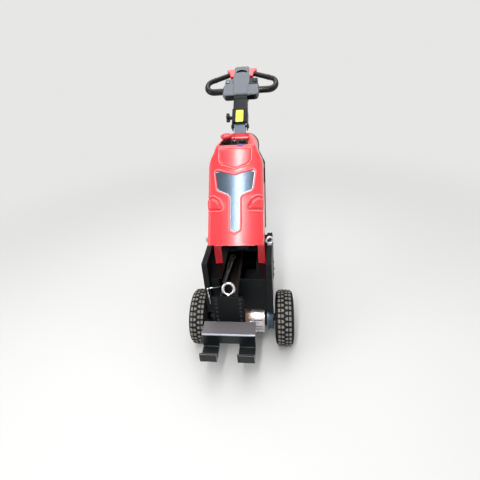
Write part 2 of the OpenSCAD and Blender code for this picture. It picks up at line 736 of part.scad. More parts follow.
// Post: upright from the deck, then along the back plate to the tilt pivot
post_y = foot_y + back_t * cos(rear_lean) + 1;
function mast_point(v, w) = [foot_y + v * cos(rear_lean) + w * sin(rear_lean),
    foot_z - v * sin(rear_lean) + w * cos(rear_lean)];
// Where a line along the mast, v behind its foot, crosses a given Y
function mast_cross(v, y) = let (p = mast_point(v, 0)) p.y + (y - p.x) / tan(rear_lean);
post_tip = post_len + post_d / 2;
post_outline = rounded([
    [post_y, deck_z, 0], [post_y + post_d, deck_z, 0],
    [post_y + post_d, mast_cross(back_t + post_d, post_y + post_d), 0],
    concat(mast_point(back_t + post_d, post_tip), post_d / 2 - 1),
    concat(mast_point(back_t, post_tip), post_d / 2 - 1),
    [post_y, mast_cross(back_t, post_y), 0]]);
module tiller_post() color([0.07, 0.08, 0.09]) difference() {
    at_axle() side_on(-post_w / 2, post_w / 2) polygon(post_outline);
    mast_frame() pin_x(-post_w, post_w, pivot_r + run_gap, pivot_v, post_len);
}

// Lifting eyes that stand on the side plates' flanges
eye_r = 16;
eye_bar = 5;
eye_turn = 24;
eye_foot = 5;
eye_foot_r = 11;
eye_stem = 6;
module eye_bolts() color([0.82, 0.83, 0.84]) at_axle() both()
        translate([plate_x - flange_w / 2, eye_y, plate_top]) {
    translate([0, 0, -plate_t - eye_stem]) cylinder(r = eye_stem_r, h = plate_t + eye_stem + eye_foot + 1);
    cylinder(r = eye_foot_r, h = eye_foot);
    translate([0, 0, eye_r + eye_bar + eye_foot - 1]) rotate([90, 0, eye_turn]) rotate_extrude()
        translate([eye_r, 0]) circle(r = eye_bar, $fn = 32);
}

// Casters
caster_plate_w = 72;
caster_plate_front = 30;
module caster_plates() color([0.08, 0.08, 0.09]) at_axle() both()
        translate([caster_x, caster_y, beam_z - caster_plate_t]) difference() {
    block([-caster_plate_w / 2, -caster_plate_front, 0], [caster_plate_w / 2, caster_back, caster_plate_t]);
    translate([0, 0, -1]) cylinder(r = king_r + run_gap, h = caster_plate_t + 2);
}

lock_r = 11;
lock_low = 178;
lock_len = 60;
lock_gap = 3;
lock_cap_r = lock_r - 3;
lock_cap_h = 16;
module caster_locks() color([0.72, 0.45, 0.30]) at_axle() both()
    translate([plate_in - lock_r - lock_gap, back_in + lock_r, lock_low]) {
        cylinder(r = lock_r, h = lock_len);
        translate([0, 0, lock_len]) cylinder(r = lock_cap_r, h = lock_cap_h);
    }

cheek_gap = 5;
cheek_t = 4;
crown_plate_t = 6;
crown_plate_r = 27;
cheek_lap = 2;
cheek_x = caster_w / 2 + cheek_gap - cheek_lap;
axle_r = 6;
caster_hub_r = 13;
cheek_outline = rounded([[-20, caster_h - 4, 0], [caster_trail - 14, caster_r - 14, 12],
    [caster_trail + 16, caster_r - 14, 12], [26, caster_h - 4, 0]]);
module caster_fork() translate([caster_x, caster_y, 0]) {
    difference() {
        union() {
            translate([0, 0, caster_h - crown_plate_t]) cylinder(r = crown_plate_r, h = crown_plate_t);
            for (x = [-cheek_x - cheek_t, cheek_x]) side_on(x, x + cheek_t) polygon(cheek_outline);
            cylinder(r = king_r, h = beam_z - 1);
        }
        translate([0, 0, -1]) cylinder(r = king_r + 4, h = caster_h - crown_plate_t);
    }
    translate([0, 0, caster_h - 1]) cylinder(r = king_r, h = caster_gap + caster_plate_t);
    pin_x(-caster_w / 2 - cheek_gap - cheek_lap, caster_w / 2 + cheek_gap + cheek_lap, axle_r,
        caster_trail, caster_r);
}
module caster_wheel() translate([caster_x, caster_y + caster_trail, caster_r]) difference() {
    union() {
        pin_x(-caster_w / 2, caster_w / 2, caster_r);
        pin_x(-caster_w / 2 - cheek_lap, caster_w / 2 + cheek_lap, caster_hub_r);
    }
    pin_x(-caster_w, caster_w, axle_r + run_gap);
}
module caster_fork_right() color([0.10, 0.10, 0.11]) at_axle() caster_fork();
module caster_fork_left() color([0.10, 0.10, 0.11]) at_axle() mirror([1, 0, 0]) caster_fork();
module caster_wheel_right() color([0.72, 0.38, 0.12]) at_axle() caster_wheel();
module caster_wheel_left() color([0.72, 0.38, 0.12]) at_axle() mirror([1, 0, 0]) caster_wheel();

// Drive wheels: the tyre's half section runs from its bead to its tread
bead_in = 12;
tyre_half = [[rim_r, bead_in - tyre_w / 2, 0], [rim_r + 20, -tyre_w / 2, 12],
    [tyre_r - 26, -tyre_w / 2, 16], [tyre_r, 14 - tyre_w / 2, 12]];
tyre_section = rounded(concat(tyre_half,
    [for (i = [len(tyre_half) - 1:-1:0]) [tyre_half[i].x, -tyre_half[i].y, tyre_half[i].z]]));
module tyre() translate([tyre_x, 0, tyre_r]) rotate([0, 90, 0])
    rotate_extrude($fn = 128) polygon(tyre_section);
disc_t = 8;
rim_wall = 6;
module rim() translate([tyre_x, 0, tyre_r]) difference() {
    union() {
        difference() {
            pin_x(bead_in - tyre_w / 2, tyre_w / 2 - bead_in, rim_r);
            pin_x(-tyre_w, -disc_t / 2, rim_r - rim_wall);
            pin_x(disc_t / 2, tyre_w, rim_r - rim_wall);
        }
        pin_x(hub_in - tyre_x, hub_out - tyre_x, hub_r);
    }
    pin_x(-tyre_w, tyre_w, stub_r + run_gap);
}
module tyre_right() color([0.09, 0.09, 0.09]) at_axle() tyre();
module tyre_left() color([0.09, 0.09, 0.09]) at_axle() mirror([1, 0, 0]) tyre();
module rim_right() color([0.30, 0.31, 0.32]) at_axle() rim();
module rim_left() color([0.30, 0.31, 0.32]) at_axle() mirror([1, 0, 0]) rim();

// Tiller: its frame has the tilt pivot as origin and Z along the sleeve
module tiller_frame() at_axle() translate([0, pivot_y, pivot_z]) rotate([-tiller_lean, 0, 0]) children();
module head_frame() at_axle() translate([0, head_y, head_z]) rotate([-head_angle, 0, 0]) children();

sleeve_in = sleeve_w / 2 - sleeve_t;
collar_in = collar_w / 2 - sleeve_t;
web_z = 8;
sleeve_low = 30;
sleeve_taper = 3;
sleeve_lid_t = 3;
collar_front = sleeve_d / 2 + 2;
collar_back = sleeve_d / 2 - 4;
collar_outline = rounded([[-collar_front, web_z, 0], [-18, -22, 16], [18, -22, 16], [collar_back, 28, 8],
    [collar_back, collar_len, 4], [-collar_front, collar_len, 0]]);
module tiller_sleeve() color([0.08, 0.09, 0.10]) tiller_frame() difference() {
    union() {
        block([-sleeve_w / 2, -sleeve_d / 2, web_z], [sleeve_w / 2, sleeve_t - sleeve_d / 2, sleeve_len]);
        for (x = [-sleeve_w / 2, sleeve_in]) side_on(x, x + sleeve_t) polygon([
            [-sleeve_d / 2, sleeve_low], [sleeve_d / 2 - sleeve_taper, sleeve_low],
            [sleeve_d / 2, sleeve_len], [-sleeve_d / 2, sleeve_len]]);
        block([-sleeve_in, collar_back, collar_len], [sleeve_in, collar_back + sleeve_lid_t, sleeve_len]);
        block([-collar_w / 2, -collar_front, web_z],
            [collar_w / 2, sleeve_t / 2 - sleeve_d / 2, collar_len]);
        for (x = [-collar_w / 2, collar_in]) side_on(x, x + sleeve_t) polygon(collar_outline);
    }
    pin_x(-collar_w, collar_w, pivot_r);
}

bolt_head_r = 11;
bolt_head_t = 6;
module pivot_bolt() color([0.80, 0.81, 0.82]) tiller_frame() {
    pin_x(-collar_w / 2 - bolt_head_t, collar_w / 2, pivot_r);
    pin_x(collar_w / 2, collar_w / 2 + bolt_head_t, bolt_head_r);
    pin_x(-collar_w / 2 - bolt_head_t, -collar_w / 2, bolt_head_r);
}

// Star knob on the collar's left side
knob_arms = 5;
knob_r = 24;
knob_z = 55;
knob_len = 32;
knob_stem_r = 9;
arm_r = 7;
module clamp_knob() color([0.05, 0.05, 0.06]) tiller_frame()
    translate([-collar_w / 2 - knob_len, 0, knob_z]) rotate([0, 90, 0]) {
        cylinder(r = knob_r - arm_r, h = knob_len / 2);
        translate([0, 0, knob_len / 2 - 1]) cylinder(r = knob_stem_r, h = knob_len / 2 + 1);
        for (i = [0:knob_arms - 1]) rotate([0, 0, i * 360 / knob_arms]) translate([knob_r - arm_r, 0, 0])
            cylinder(r = arm_r, h = knob_len / 2 - 2, $fn = 32);
    }

// Head: a tall spine that crosses its side outline with its front outline, and two low wings
wing_back = -5;
wing_front = -33;
spine_back = 26;
head_side = rounded([[-head_d, 0, 8], [-head_d, head_len - 58, 90], [-nose_r, head_len - nose_r, 0],
    [nose_r, head_len - nose_r, 0], [spine_back, 120, 60], [spine_back, 0, 8]]);
head_front = rounded(both_sides([[nose_w / 2, 0, 0], [nose_w / 2, 40, 60], [swell_w / 2, 112, 60],
    [nose_w / 2, 188, 60], [nose_w / 2 - 4, head_len, 22]]));
wing_outline = rounded(both_sides([[base_w / 2, 0, 12], [base_w / 2, base_len, 16]]));
module spine() intersection() {
    union() {
        side_on(-base_w, base_w) polygon(head_side);
        pin_x(-base_w, base_w, nose_r, 0, head_len - nose_r);
    }
    face_on(-reach, reach) polygon(head_front);
}
module head_housing() color([0.28, 0.29, 0.31]) difference() {
    head_frame() union() {
        spine();
        face_on(wing_front, wing_back) polygon(wing_outline);
    }
    tiller_frame() block([-sleeve_w, -base_len, 0], [sleeve_w, base_len, sleeve_len]);
}

// Black shell under the wings, with a neck down to the sleeve's square end
shell_in = 4;
shell_back = 20;
neck_front = 6 - head_d;
neck_back = spine_back - 2;
neck_len = 20;
shelf_front = wing_front + 4;
shelf_t = 10;
pad_x = 90;
pad_top = 138;
shell_outline = rounded(both_sides([[base_w / 2 - shell_in, 0, 0], [base_w / 2 - shell_in, base_len, 16],
    [pad_x - 20, pad_top, 20]]));
module head_base() color([0.04, 0.04, 0.05]) difference() {
    intersection() {
        tiller_frame() block([-base_w / 2, -head_len, sleeve_len],
            [base_w / 2, head_len, sleeve_len + head_len]);
        head_frame() union() {
            face_on(wing_back, shell_back) polygon(shell_outline);
            block([-sleeve_w / 2, neck_front, -neck_len], [sleeve_w / 2, neck_back, 0]);
            block([-base_w / 2 + shell_in, shelf_front, -shelf_t], [base_w / 2 - shell_in, shell_back, 0]);
        }
    }
    head_frame() spine();
}

// Button pads beside the spine, above the wings
pad_front = -28;
button_x = 72;
button_z = 112;
button_r = 8;
button_h = 4;
module head_pads() color([0.03, 0.03, 0.035]) head_frame() difference() {
    both() face_on(pad_front, wing_back) polygon([[0, base_len], [pad_x, base_len], [pad_x - 4, pad_top],
        [0, pad_top]]);
    spine();
}
module head_buttons() color([0.75, 0.76, 0.78]) head_frame() both()
    translate([button_x, pad_front, button_z]) rotate([90, 0, 0]) cylinder(r = button_r, h = button_h);

// Handle loops: a bar out from the wing, two bends round a short upright, a slanting bar back to the spine
loop_low = 52;
loop_bend = 41;
loop_rise = 26;
loop_turn = 156;
loop_v = -18;
loop_x = grip_x - grip_r - loop_bend;
loop_z = loop_low + loop_bend;
bend_end = [loop_x + loop_bend * sin(loop_turn), 0,
    loop_z + loop_rise - loop_bend * cos(loop_turn)];
loop_dir = [cos(loop_turn), 0, sin(loop_turn)];
loop_run = (bend_end.x - nose_w / 2) / -loop_dir.x;
// The bends are a little thicker than the bars that run into them, so that all are one tube
bend_lip = 0.4;
bend_lap = 3;
module loop_arc(z, from, to, r) translate([loop_x, 0, z]) rotate([90, 0, 0]) rotate([0, 0, from - 90])
    rotate_extrude(angle = to - from) translate([loop_bend, 0]) circle(r = r + bend_lip);
module handle_loop(r) translate([0, loop_v, 0]) {
    bar([base_w / 2, 0, loop_low], [loop_x + bend_lap, 0, loop_low], r);
    loop_arc(loop_z, 0, 90, r);
    bar([loop_x + loop_bend, 0, loop_z - bend_lap],
        [loop_x + loop_bend, 0, loop_z + loop_rise + bend_lap], r);
    loop_arc(loop_z + loop_rise, 90, loop_turn, r);
    bar(bend_end - loop_dir * bend_lap, bend_end + loop_dir * (loop_run + grip_r), r);
}
module handles() color([0.05, 0.05, 0.05]) head_frame() difference() {
    both() handle_loop(grip_r);
    spine();
}

// Thumb paddles, pinched round the slanting bars
paddle_front = loop_v - 12;
paddle_back = loop_v + 10;
paddle_outline = rounded([[34, 160, 0], [48, 158, 0], [70, 158, 6], [74, 200, 30], [88, 222, 8],
    [86, 239, 5], [34, 239, 0]]);
module paddles() color([0.80, 0.07, 0.09]) head_frame() difference() {
    both() face_on(paddle_front, paddle_back) polygon(paddle_outline);
    spine();
    both() handle_loop(grip_r);
}

// Dark arched display across the nose
arch_r = 30;
arch_w = 7;
arch_z = 178;
arch_rise = 5;
arch_up = 1.5;
module indicator() color([0.02, 0.02, 0.02]) head_frame() difference() {
    intersection() {
        translate([0, -arch_up, 0]) spine();
        face_on(-head_d - arch_up - 1, 0) translate([0, arch_z]) difference() {
            circle(r = arch_r);
            circle(r = arch_r - arch_w);
            translate([-arch_r, -arch_r]) square([2 * arch_r, arch_r + arch_rise]);
        }
    }
    spine();
}

side_plate_left();
side_plate_right();
deck_panel();
rear_panel();
rear_beam();
axle_brackets();
axle_tube();
gear_housing();
brake_drum();
stub_axles();
drive_motor();
draw_arm();
arm_beam();
hitch_plate();
hook_bracket();
tow_ring();
hitch_lever();
lanyard();
lanyard_pin();
cover();
cover_inlay();
control_panel();
emergency_stop();
back_plate();
battery_pack();
tiller_post();
eye_bolts();
caster_plates();
caster_locks();
tiller_sleeve();
pivot_bolt();
clamp_knob();
head_housing();
head_base();
handles();
paddles();
head_pads();
head_buttons();
indicator();
tyre_left();
rim_left();
tyre_right();
rim_right();
caster_fork_left();
caster_wheel_left();
caster_fork_right();
caster_wheel_right();
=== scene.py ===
"""Looks of the walk-behind tow tug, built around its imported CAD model.

Lengths are written in millimetres. Places along Y are counted from the drive axle, as in the part's source.
"""
import json
from math import atan2, cos, degrees, hypot, pi, radians, sin, tan

import bmesh
import bpy
import numpy as np
from mathutils import Matrix, Vector


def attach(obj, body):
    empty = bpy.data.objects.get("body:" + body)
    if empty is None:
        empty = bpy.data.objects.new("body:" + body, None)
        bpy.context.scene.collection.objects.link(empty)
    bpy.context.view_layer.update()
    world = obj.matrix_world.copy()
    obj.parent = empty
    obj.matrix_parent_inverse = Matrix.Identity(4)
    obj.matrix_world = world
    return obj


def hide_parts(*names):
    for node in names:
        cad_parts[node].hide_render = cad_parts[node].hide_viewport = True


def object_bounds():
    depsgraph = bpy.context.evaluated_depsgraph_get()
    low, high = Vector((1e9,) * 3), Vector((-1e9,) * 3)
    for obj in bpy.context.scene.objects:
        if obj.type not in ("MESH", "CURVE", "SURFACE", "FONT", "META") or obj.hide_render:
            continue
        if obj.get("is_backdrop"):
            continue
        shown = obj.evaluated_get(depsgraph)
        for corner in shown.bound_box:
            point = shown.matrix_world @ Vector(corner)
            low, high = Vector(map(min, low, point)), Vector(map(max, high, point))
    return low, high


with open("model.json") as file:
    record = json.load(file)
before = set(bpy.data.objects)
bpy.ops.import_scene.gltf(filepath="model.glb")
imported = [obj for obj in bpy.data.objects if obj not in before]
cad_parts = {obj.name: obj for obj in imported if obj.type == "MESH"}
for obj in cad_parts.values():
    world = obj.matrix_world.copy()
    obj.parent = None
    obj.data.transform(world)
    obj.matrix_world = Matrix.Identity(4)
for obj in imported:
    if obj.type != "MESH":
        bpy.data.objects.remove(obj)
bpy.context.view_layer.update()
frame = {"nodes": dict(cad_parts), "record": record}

MM = 0.001
AXLE_Y = -263.771


def place(x, y, z):
    """A point counted from the drive axle, in metres in the row frame."""
    return Vector((x, y + AXLE_Y, z)) * MM


def leaning(y, z, lean):
    """Frame with its origin at (0, y, z), leaning back by lean degrees, in millimetres."""
    return (Matrix.Scale(MM, 4) @ Matrix.Translation((0, y + AXLE_Y, z))
            @ Matrix.Rotation(radians(-lean), 4, "X"))


def add_object(name, data):
    thing = bpy.data.objects.new(name, data)
    bpy.context.collection.objects.link(thing)
    return thing


# Local frames of the forms that lean, and the place and size of the drive tyres
ROW = leaning(0, 0, 0)
COVER_LEAN, COVER_FRONT, COVER_LOW = 37, 55, 588
PIVOT_Y, PIVOT_Z, TILLER_LEAN = 462.637, 964.381, 50
HEAD_Y, HEAD_Z, HEAD_LEAN = 589.034, 1070.44, 58
COVER = leaning(-COVER_FRONT, COVER_LOW, COVER_LEAN)
TILLER = leaning(PIVOT_Y, PIVOT_Z, TILLER_LEAN)
HEAD = leaning(HEAD_Y, HEAD_Z, HEAD_LEAN)
TYRE_X, TYRE_R = 204, 133
SIDES = (("left", -1), ("right", 1))

# Camera: solved from the three machines in the photograph
SENSOR_WIDTH = 36
FOCAL_PX, FRAME_PX, CENTRE_PY = 324.5, 480, 213.5
PITCH, ROLL, YAW = radians(27.6), radians(-4.6), radians(-7.7)
CAMERA_HEIGHT = 1335
TUG_X, TUG_Y = -26, 1195


def make_camera():
    turn = Matrix.Rotation(-YAW, 3, "Z")
    ahead = turn @ Vector((0, cos(PITCH), -sin(PITCH)))
    level_up = turn @ Vector((0, sin(PITCH), cos(PITCH)))
    level_right = turn @ Vector((1, 0, 0))
    right = cos(ROLL) * level_right + sin(ROLL) * level_up
    up = cos(ROLL) * level_up - sin(ROLL) * level_right
    spot = turn @ Vector((-TUG_X, -TUG_Y, 0))
    data = bpy.data.cameras.new("camera")
    data.sensor_width = SENSOR_WIDTH
    data.lens = FOCAL_PX / FRAME_PX * data.sensor_width
    data.shift_y = (CENTRE_PY - FRAME_PX / 2) / FRAME_PX
    camera = add_object("camera", data)
    camera.matrix_world = Matrix.Translation(place(spot.x, spot.y, CAMERA_HEIGHT)) @ Matrix(
        (right, up, -ahead)).transposed().to_4x4()
    bpy.context.scene.camera = camera


make_camera()


def add_node(tree, kind, **values):
    """A new node, with values for its inputs by name; an underscore stands for a space."""
    node = tree.nodes.new("ShaderNode" + kind)
    for name, value in values.items():
        node.inputs[name.replace("_", " ")].default_value = value
    return node


def combine(tree, operation, *values, kind="Math"):
    """Output of a math node on one or two outputs."""
    node = add_node(tree, kind)
    node.operation = operation
    for value, socket in zip(values, node.inputs):
        tree.links.new(value, socket)
    return node.outputs["Value"]


def mixed(tree, share, one, two):
    """Shader that goes from one to two with share."""
    mix = add_node(tree, "MixShader")
    for value, socket in zip((share, one.outputs[0], two.outputs[0]), mix.inputs):
        tree.links.new(value, socket)
    return mix.outputs[0]


# Light: name, place, aim, size in metres and power in watts of each lamp
BACKDROP = (0.80, 0.80, 0.79)
SKY, SKY_STRENGTH = (0.9, 0.95, 1.0), 0.5
LAMPS = (("strip", (-0.17, -2.1, 3.0), (0, -0.1, 0.8), (0.18, 2.2), 64),
         ("overhead", (0.0, 0.5, 3.4), (0, 0, 0.5), (2.4, 3.0), 65),
         ("left", (-2.8, -1.4, 1.9), (0, 0, 0.5), (1.6, 2.2), 34),
         ("right", (2.9, -0.4, 2.2), (0, 0, 0.5), (1.4, 2.0), 14))


def make_world():
    """Soft light from all round, with the backdrop where it is seen, mirrored or looked through."""
    world = bpy.data.worlds.new("studio")
    world.use_nodes = True
    bpy.context.scene.world = world
    tree = world.node_tree
    tree.nodes.clear()
    light = add_node(tree, "Background", Color=(*SKY, 1), Strength=SKY_STRENGTH)
    seen = add_node(tree, "Background", Color=(*BACKDROP, 1))
    path = add_node(tree, "LightPath").outputs
    mirrored = combine(tree, "MAXIMUM", path["Is Glossy Ray"], path["Is Transmission Ray"])
    either = combine(tree, "MAXIMUM", path["Is Camera Ray"], mirrored)
    tree.links.new(mixed(tree, either, light, seen), add_node(tree, "OutputWorld").inputs["Surface"])


def make_lights():
    for name, spot, aim, size, power in LAMPS:
        data = bpy.data.lights.new(name, "AREA")
        data.shape = "RECTANGLE"
        data.size, data.size_y = size
        data.energy = power
        lamp = add_object(name, data)
        lamp.location = spot
        lamp.rotation_mode = "QUATERNION"
        lamp.rotation_quaternion = (Vector(aim) - Vector(spot)).to_track_quat("-Z", "Y")


bpy.context.scene.view_settings.view_transform = "Standard"
make_world()
make_lights()


# Floor: it fades into the backdrop between two distances from the middle, in metres
FLOOR_REACH, FADE_FROM, FADE_FULL = 40, 0.7, 3.2
FLOOR_COLOUR, FLOOR_ROUGH = (0.66, 0.65, 0.63), 0.8


def make_floor():
    mesh = bpy.data.meshes.new("floor")
    corners = [(x * FLOOR_REACH, y * FLOOR_REACH, 0) for x, y in ((-1, -1), (1, -1), (1, 1), (-1, 1))]
    mesh.from_pydata(corners, [], [(0, 1, 2, 3)])
    floor = add_object("floor", mesh)
    mat = bpy.data.materials.new("floor")
    mat.use_nodes = True
    tree = mat.node_tree
    shader = tree.nodes["Principled BSDF"]
    shader.inputs["Base Color"].default_value = (*FLOOR_COLOUR, 1)
    shader.inputs["Roughness"].default_value = FLOOR_ROUGH
    haze = add_node(tree, "Emission", Color=(*BACKDROP, 1))
    reach = combine(tree, "LENGTH", add_node(tree, "TexCoord").outputs["Object"], kind="VectorMath")
    fade = add_node(tree, "MapRange", From_Min=FADE_FROM, From_Max=FADE_FULL)
    fade.interpolation_type = "SMOOTHSTEP"
    tree.links.new(reach, fade.inputs["Value"])
    surface_of = tree.nodes["Material Output"].inputs["Surface"]
    tree.links.new(mixed(tree, fade.outputs["Result"], shader, haze), surface_of)
    mesh.materials.append(mat)
    floor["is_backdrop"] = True


make_floor()


# Materials
MOTTLE_STOPS, MOTTLE_DETAIL = (0.3, 0.7), 4
ROUGH_LOW, ROUGH_HIGH, SMOOTHEST = 0.85, 1.15, 0.02
BUMP_DEPTH = 0.4
# How far up a face looks, and how far a bevelled normal turns, where the painted top sheen and the edge
# colour start and are full
LOOKS_UP, TOP_SHEEN_FADE = (0.75, 0.95), 2
EDGE_TURN, EDGE_SAMPLES = (0.995, 0.90), 6
# Colour sockets of a Mix node
MIX_A, MIX_B, MIX_RESULT = 6, 7, 2


def linear(*srgb):
    """Linear colour from sRGB values 0 to 255."""
    return tuple(((c / 255 + 0.055) / 1.055) ** 2.4 if c > 10 else c / 255 / 12.92 for c in srgb)


def noise(tree, spot, size):
    """Noise with spots of about a size in millimetres."""
    cloud = add_node(tree, "TexNoise", Scale=1 / (size * MM))
    tree.links.new(spot["Object"], cloud.inputs["Vector"])
    return cloud


def ramp_of(tree, value, **ends):
    ramp = add_node(tree, "MapRange", **ends)
    tree.links.new(value, ramp.inputs["Value"])
    return ramp.outputs["Result"]


def fading(tree, value, start, full):
    """0 where value is at start, 1 where it is at full."""
    return ramp_of(tree, value, From_Min=start, From_Max=full)


def painted(tree, tint, factor, paint):
    """Tint, with paint over it where factor is 1."""
    mix = add_node(tree, "Mix")
    mix.data_type = "RGBA"
    tree.links.new(factor, mix.inputs["Factor"])
    tree.links.new(tint, mix.inputs[MIX_A])
    mix.inputs[MIX_B].default_value = (*paint, 1)
    return mix.outputs[MIX_RESULT]


def mottled(tree, cloud, colour, mottle):
    """Colour that varies by a share of itself."""
    ramp = add_node(tree, "ValToRGB")
    low, high = ramp.color_ramp.elements
    low.position, high.position = MOTTLE_STOPS
    low.color = (*(c * (1 - mottle) for c in colour), 1)
    high.color = (*(min(1, c * (1 + mottle)) for c in colour), 1)
    tree.links.new(cloud.outputs["Fac"], ramp.inputs["Fac"])
    return ramp.outputs["Color"]


# Mask of the painted sheen on faces that look up
def upward_faces(tree, spot, height):
    """1 on faces that look up and lie above a height."""
    up, level = add_node(tree, "SeparateXYZ"), add_node(tree, "SeparateXYZ")
    tree.links.new(spot["Normal"], up.inputs[0])
    tree.links.new(spot["Object"], level.inputs[0])
    above = fading(tree, level.outputs["Z"], (height - TOP_SHEEN_FADE) * MM, height * MM)
    return combine(tree, "MULTIPLY", fading(tree, up.outputs["Z"], *LOOKS_UP), above)


# Mask of the edge colour: wear on most looks, a painted highlight on the hook bracket
def worn_and_lit_edges(tree, width):
    """1 on edges, where a bevelled normal turns away from the face's own."""
    bevel = add_node(tree, "Bevel", Radius=width * MM)
    bevel.samples = EDGE_SAMPLES
    flat = add_node(tree, "NewGeometry").outputs["Normal"]
    dot = combine(tree, "DOT_PRODUCT", bevel.outputs["Normal"], flat, kind="VectorMath")
    return fading(tree, dot, *EDGE_TURN)


def surface(name, colour, rough, metal=0.0, coat=0.0, coat_rough=0.06, grain=0.0, grain_size=1.5, mottle=0.08,
            mottle_size=40, wear=None, wear_width=1.2, specular=0.5, crests=(), worn_top=None):
    """A procedural material: mottled colour, uneven roughness and fine bump.

    The edge colour is wear on most looks and a painted highlight on the hook bracket's. The edge light and
    shade are rows of a colour, the pointiness at which it starts and the one at which it is full: painted
    highlight on crests and painted shade in creases. The top sheen is a colour painted on upward faces as a
    sheen, and the height above which they have it.
    """
    mat = bpy.data.materials.new(name)
    mat.use_nodes = True
    tree = mat.node_tree
    shader = tree.nodes["Principled BSDF"]
    shader.inputs["Metallic"].default_value = metal
    shader.inputs["Coat Weight"].default_value = coat
    shader.inputs["Coat Roughness"].default_value = coat_rough
    shader.inputs["Specular IOR Level"].default_value = specular
    spot = add_node(tree, "TexCoord").outputs
    cloud = noise(tree, spot, mottle_size)
    cloud.inputs["Detail"].default_value = MOTTLE_DETAIL
    smear = ramp_of(tree, cloud.outputs["Fac"], To_Min=max(SMOOTHEST, rough * ROUGH_LOW),
                    To_Max=min(1, rough * ROUGH_HIGH))
    tree.links.new(smear, shader.inputs["Roughness"])
    tint = mottled(tree, cloud, colour, mottle)
    # Painted highlight on convex crests and painted shade in concave creases, by pointiness
    for paint, start, full in crests:
        point = add_node(tree, "NewGeometry").outputs["Pointiness"]
        tint = painted(tree, tint, fading(tree, point, start, full), paint)
    # Upward faces painted lighter: a painted sheen
    if worn_top:
        tint = painted(tree, tint, upward_faces(tree, spot, worn_top[1]), worn_top[0])
    # Edges tinted: wear on most looks, a painted highlight on the hook bracket
    if wear:
        tint = painted(tree, tint, worn_and_lit_edges(tree, wear_width), wear)
    tree.links.new(tint, shader.inputs["Base Color"])
    if grain:
        bump = add_node(tree, "Bump", Strength=grain, Distance=BUMP_DEPTH * MM)
        tree.links.new(noise(tree, spot, grain_size).outputs["Fac"], bump.inputs["Height"])
        tree.links.new(bump.outputs["Normal"], shader.inputs["Normal"])
    return mat


def look(name, srgb, rough, **rest):
    """A row of LOOKS: a look's name and its material."""
    return name, surface(name, linear(*srgb), rough, **rest)


# Painted highlight on the cover's crests and painted shade in its creases, set by pointiness
EDGE_LIGHT_AND_SHADE = ((linear(255, 128, 130), 0.508, 0.545), (linear(170, 18, 32), 0.493, 0.458))
LOOKS = dict((
    look("red_cover", (220, 30, 42), 0.3, coat=0.6, coat_rough=0.2, grain=0.04, grain_size=6, mottle=0.03,
         crests=EDGE_LIGHT_AND_SHADE),
    look("red_paint", (250, 58, 70), 0.34, coat=0.3, coat_rough=0.2, mottle=0.04),
    look("red_plastic", (206, 26, 40), 0.22, coat=0.5, mottle=0.06, mottle_size=12),
    look("silver_film", (80, 92, 106), 0.25, metal=0.9, grain=0.08, mottle=0.05),
    look("black_plastic", (14, 14, 16), 0.4, grain=0.2, specular=0.25),
    look("grey_plastic", (92, 96, 103), 0.5, grain=0.35, grain_size=1.2, mottle=0.04, specular=0.4),
    look("button_grey", (170, 172, 176), 0.4),
    look("handle_black", (7, 7, 9), 0.26, coat=0.2, coat_rough=0.08, mottle=0.0, specular=0.16),
    look("tyre", (22, 22, 23), 0.7, grain=0.3, mottle=0.15, mottle_size=12, specular=0.2),
    look("orange_tread", (186, 112, 52), 0.5, mottle=0.1),
    look("cast_aluminium", (206, 200, 200), 0.36, metal=0.8, grain=0.5, grain_size=2.5, mottle=0.12,
         mottle_size=18),
    look("bright_steel", (214, 216, 220), 0.2, metal=1.0, mottle=0.06, mottle_size=10),
    look("wire", (186, 188, 192), 0.3, metal=0.9),
    look("copper", (190, 130, 92), 0.35, metal=0.8),
    look("bare_steel", (56, 48, 44), 0.42, metal=0.5, mottle=0.3, mottle_size=25, wear=linear(136, 104, 84),
         wear_width=1.8, specular=0.3),
    look("grey_cast", (84, 98, 112), 0.42, metal=0.5, grain=0.5, grain_size=2),
    look("rim_black", (34, 35, 38), 0.4, metal=0.2, specular=0.35),
    look("battery", (60, 61, 64), 0.5),
    look("motor_black", (34, 35, 38), 0.4, metal=0.3, specular=0.35),
    look("black_steel", (9, 12, 14), 0.42, grain=0.3, grain_size=1.6, mottle=0.12, wear=linear(70, 78, 84),
         wear_width=0.8, specular=0.16),
    look("display_dark", (6, 6, 8), 0.6, mottle=0.0, specular=0.0),
    look("gauge_glass", (18, 20, 24), 0.08, coat=0.6),
    look("blue_lens", (62, 70, 190), 0.12, coat=0.8),
    look("button_pale", (128, 131, 136), 0.45),
    look("yellow_label", (216, 204, 52), 0.35, mottle=0.03),
    look("tread_tops", (126, 122, 116), 0.85, grain=0.4, mottle=0.18, mottle_size=14, specular=0.3),
    # Pale metal of the strip on the hook's bend: a painted highlight
    look("bend_highlight", (150, 156, 164), 0.4, metal=0.5),
    look("rim_silver", (214, 218, 226), 0.3, metal=0.6),
    look("gear_brown", (176, 150, 134), 0.45, metal=0.6, grain=0.5, grain_size=2.5, mottle=0.16,
         mottle_size=14),
    look("axle_steel", (40, 42, 45), 0.4, metal=0.6),
    look("post_steel", (66, 78, 90), 0.38, metal=0.35, grain=0.3, specular=0.4, wear=linear(130, 140, 150),
         wear_width=0.8),
    look("strap_steel", (122, 118, 114), 0.42, metal=0.7, mottle=0.2, mottle_size=14,
         wear=linear(150, 148, 146), wear_width=1.2),
    # Hook bracket: its near-white edges are a painted highlight, and its upward faces above 214 mm a painted
    # sheen
    look("hook_steel", (15, 19, 21), 0.34, grain=0.3, grain_size=2, mottle=0.15, wear=linear(196, 194, 198),
         wear_width=2.2, specular=0.3, worn_top=(linear(104, 100, 103), 214)),
))


# Shapes: each is a list of points in millimetres and a list of faces

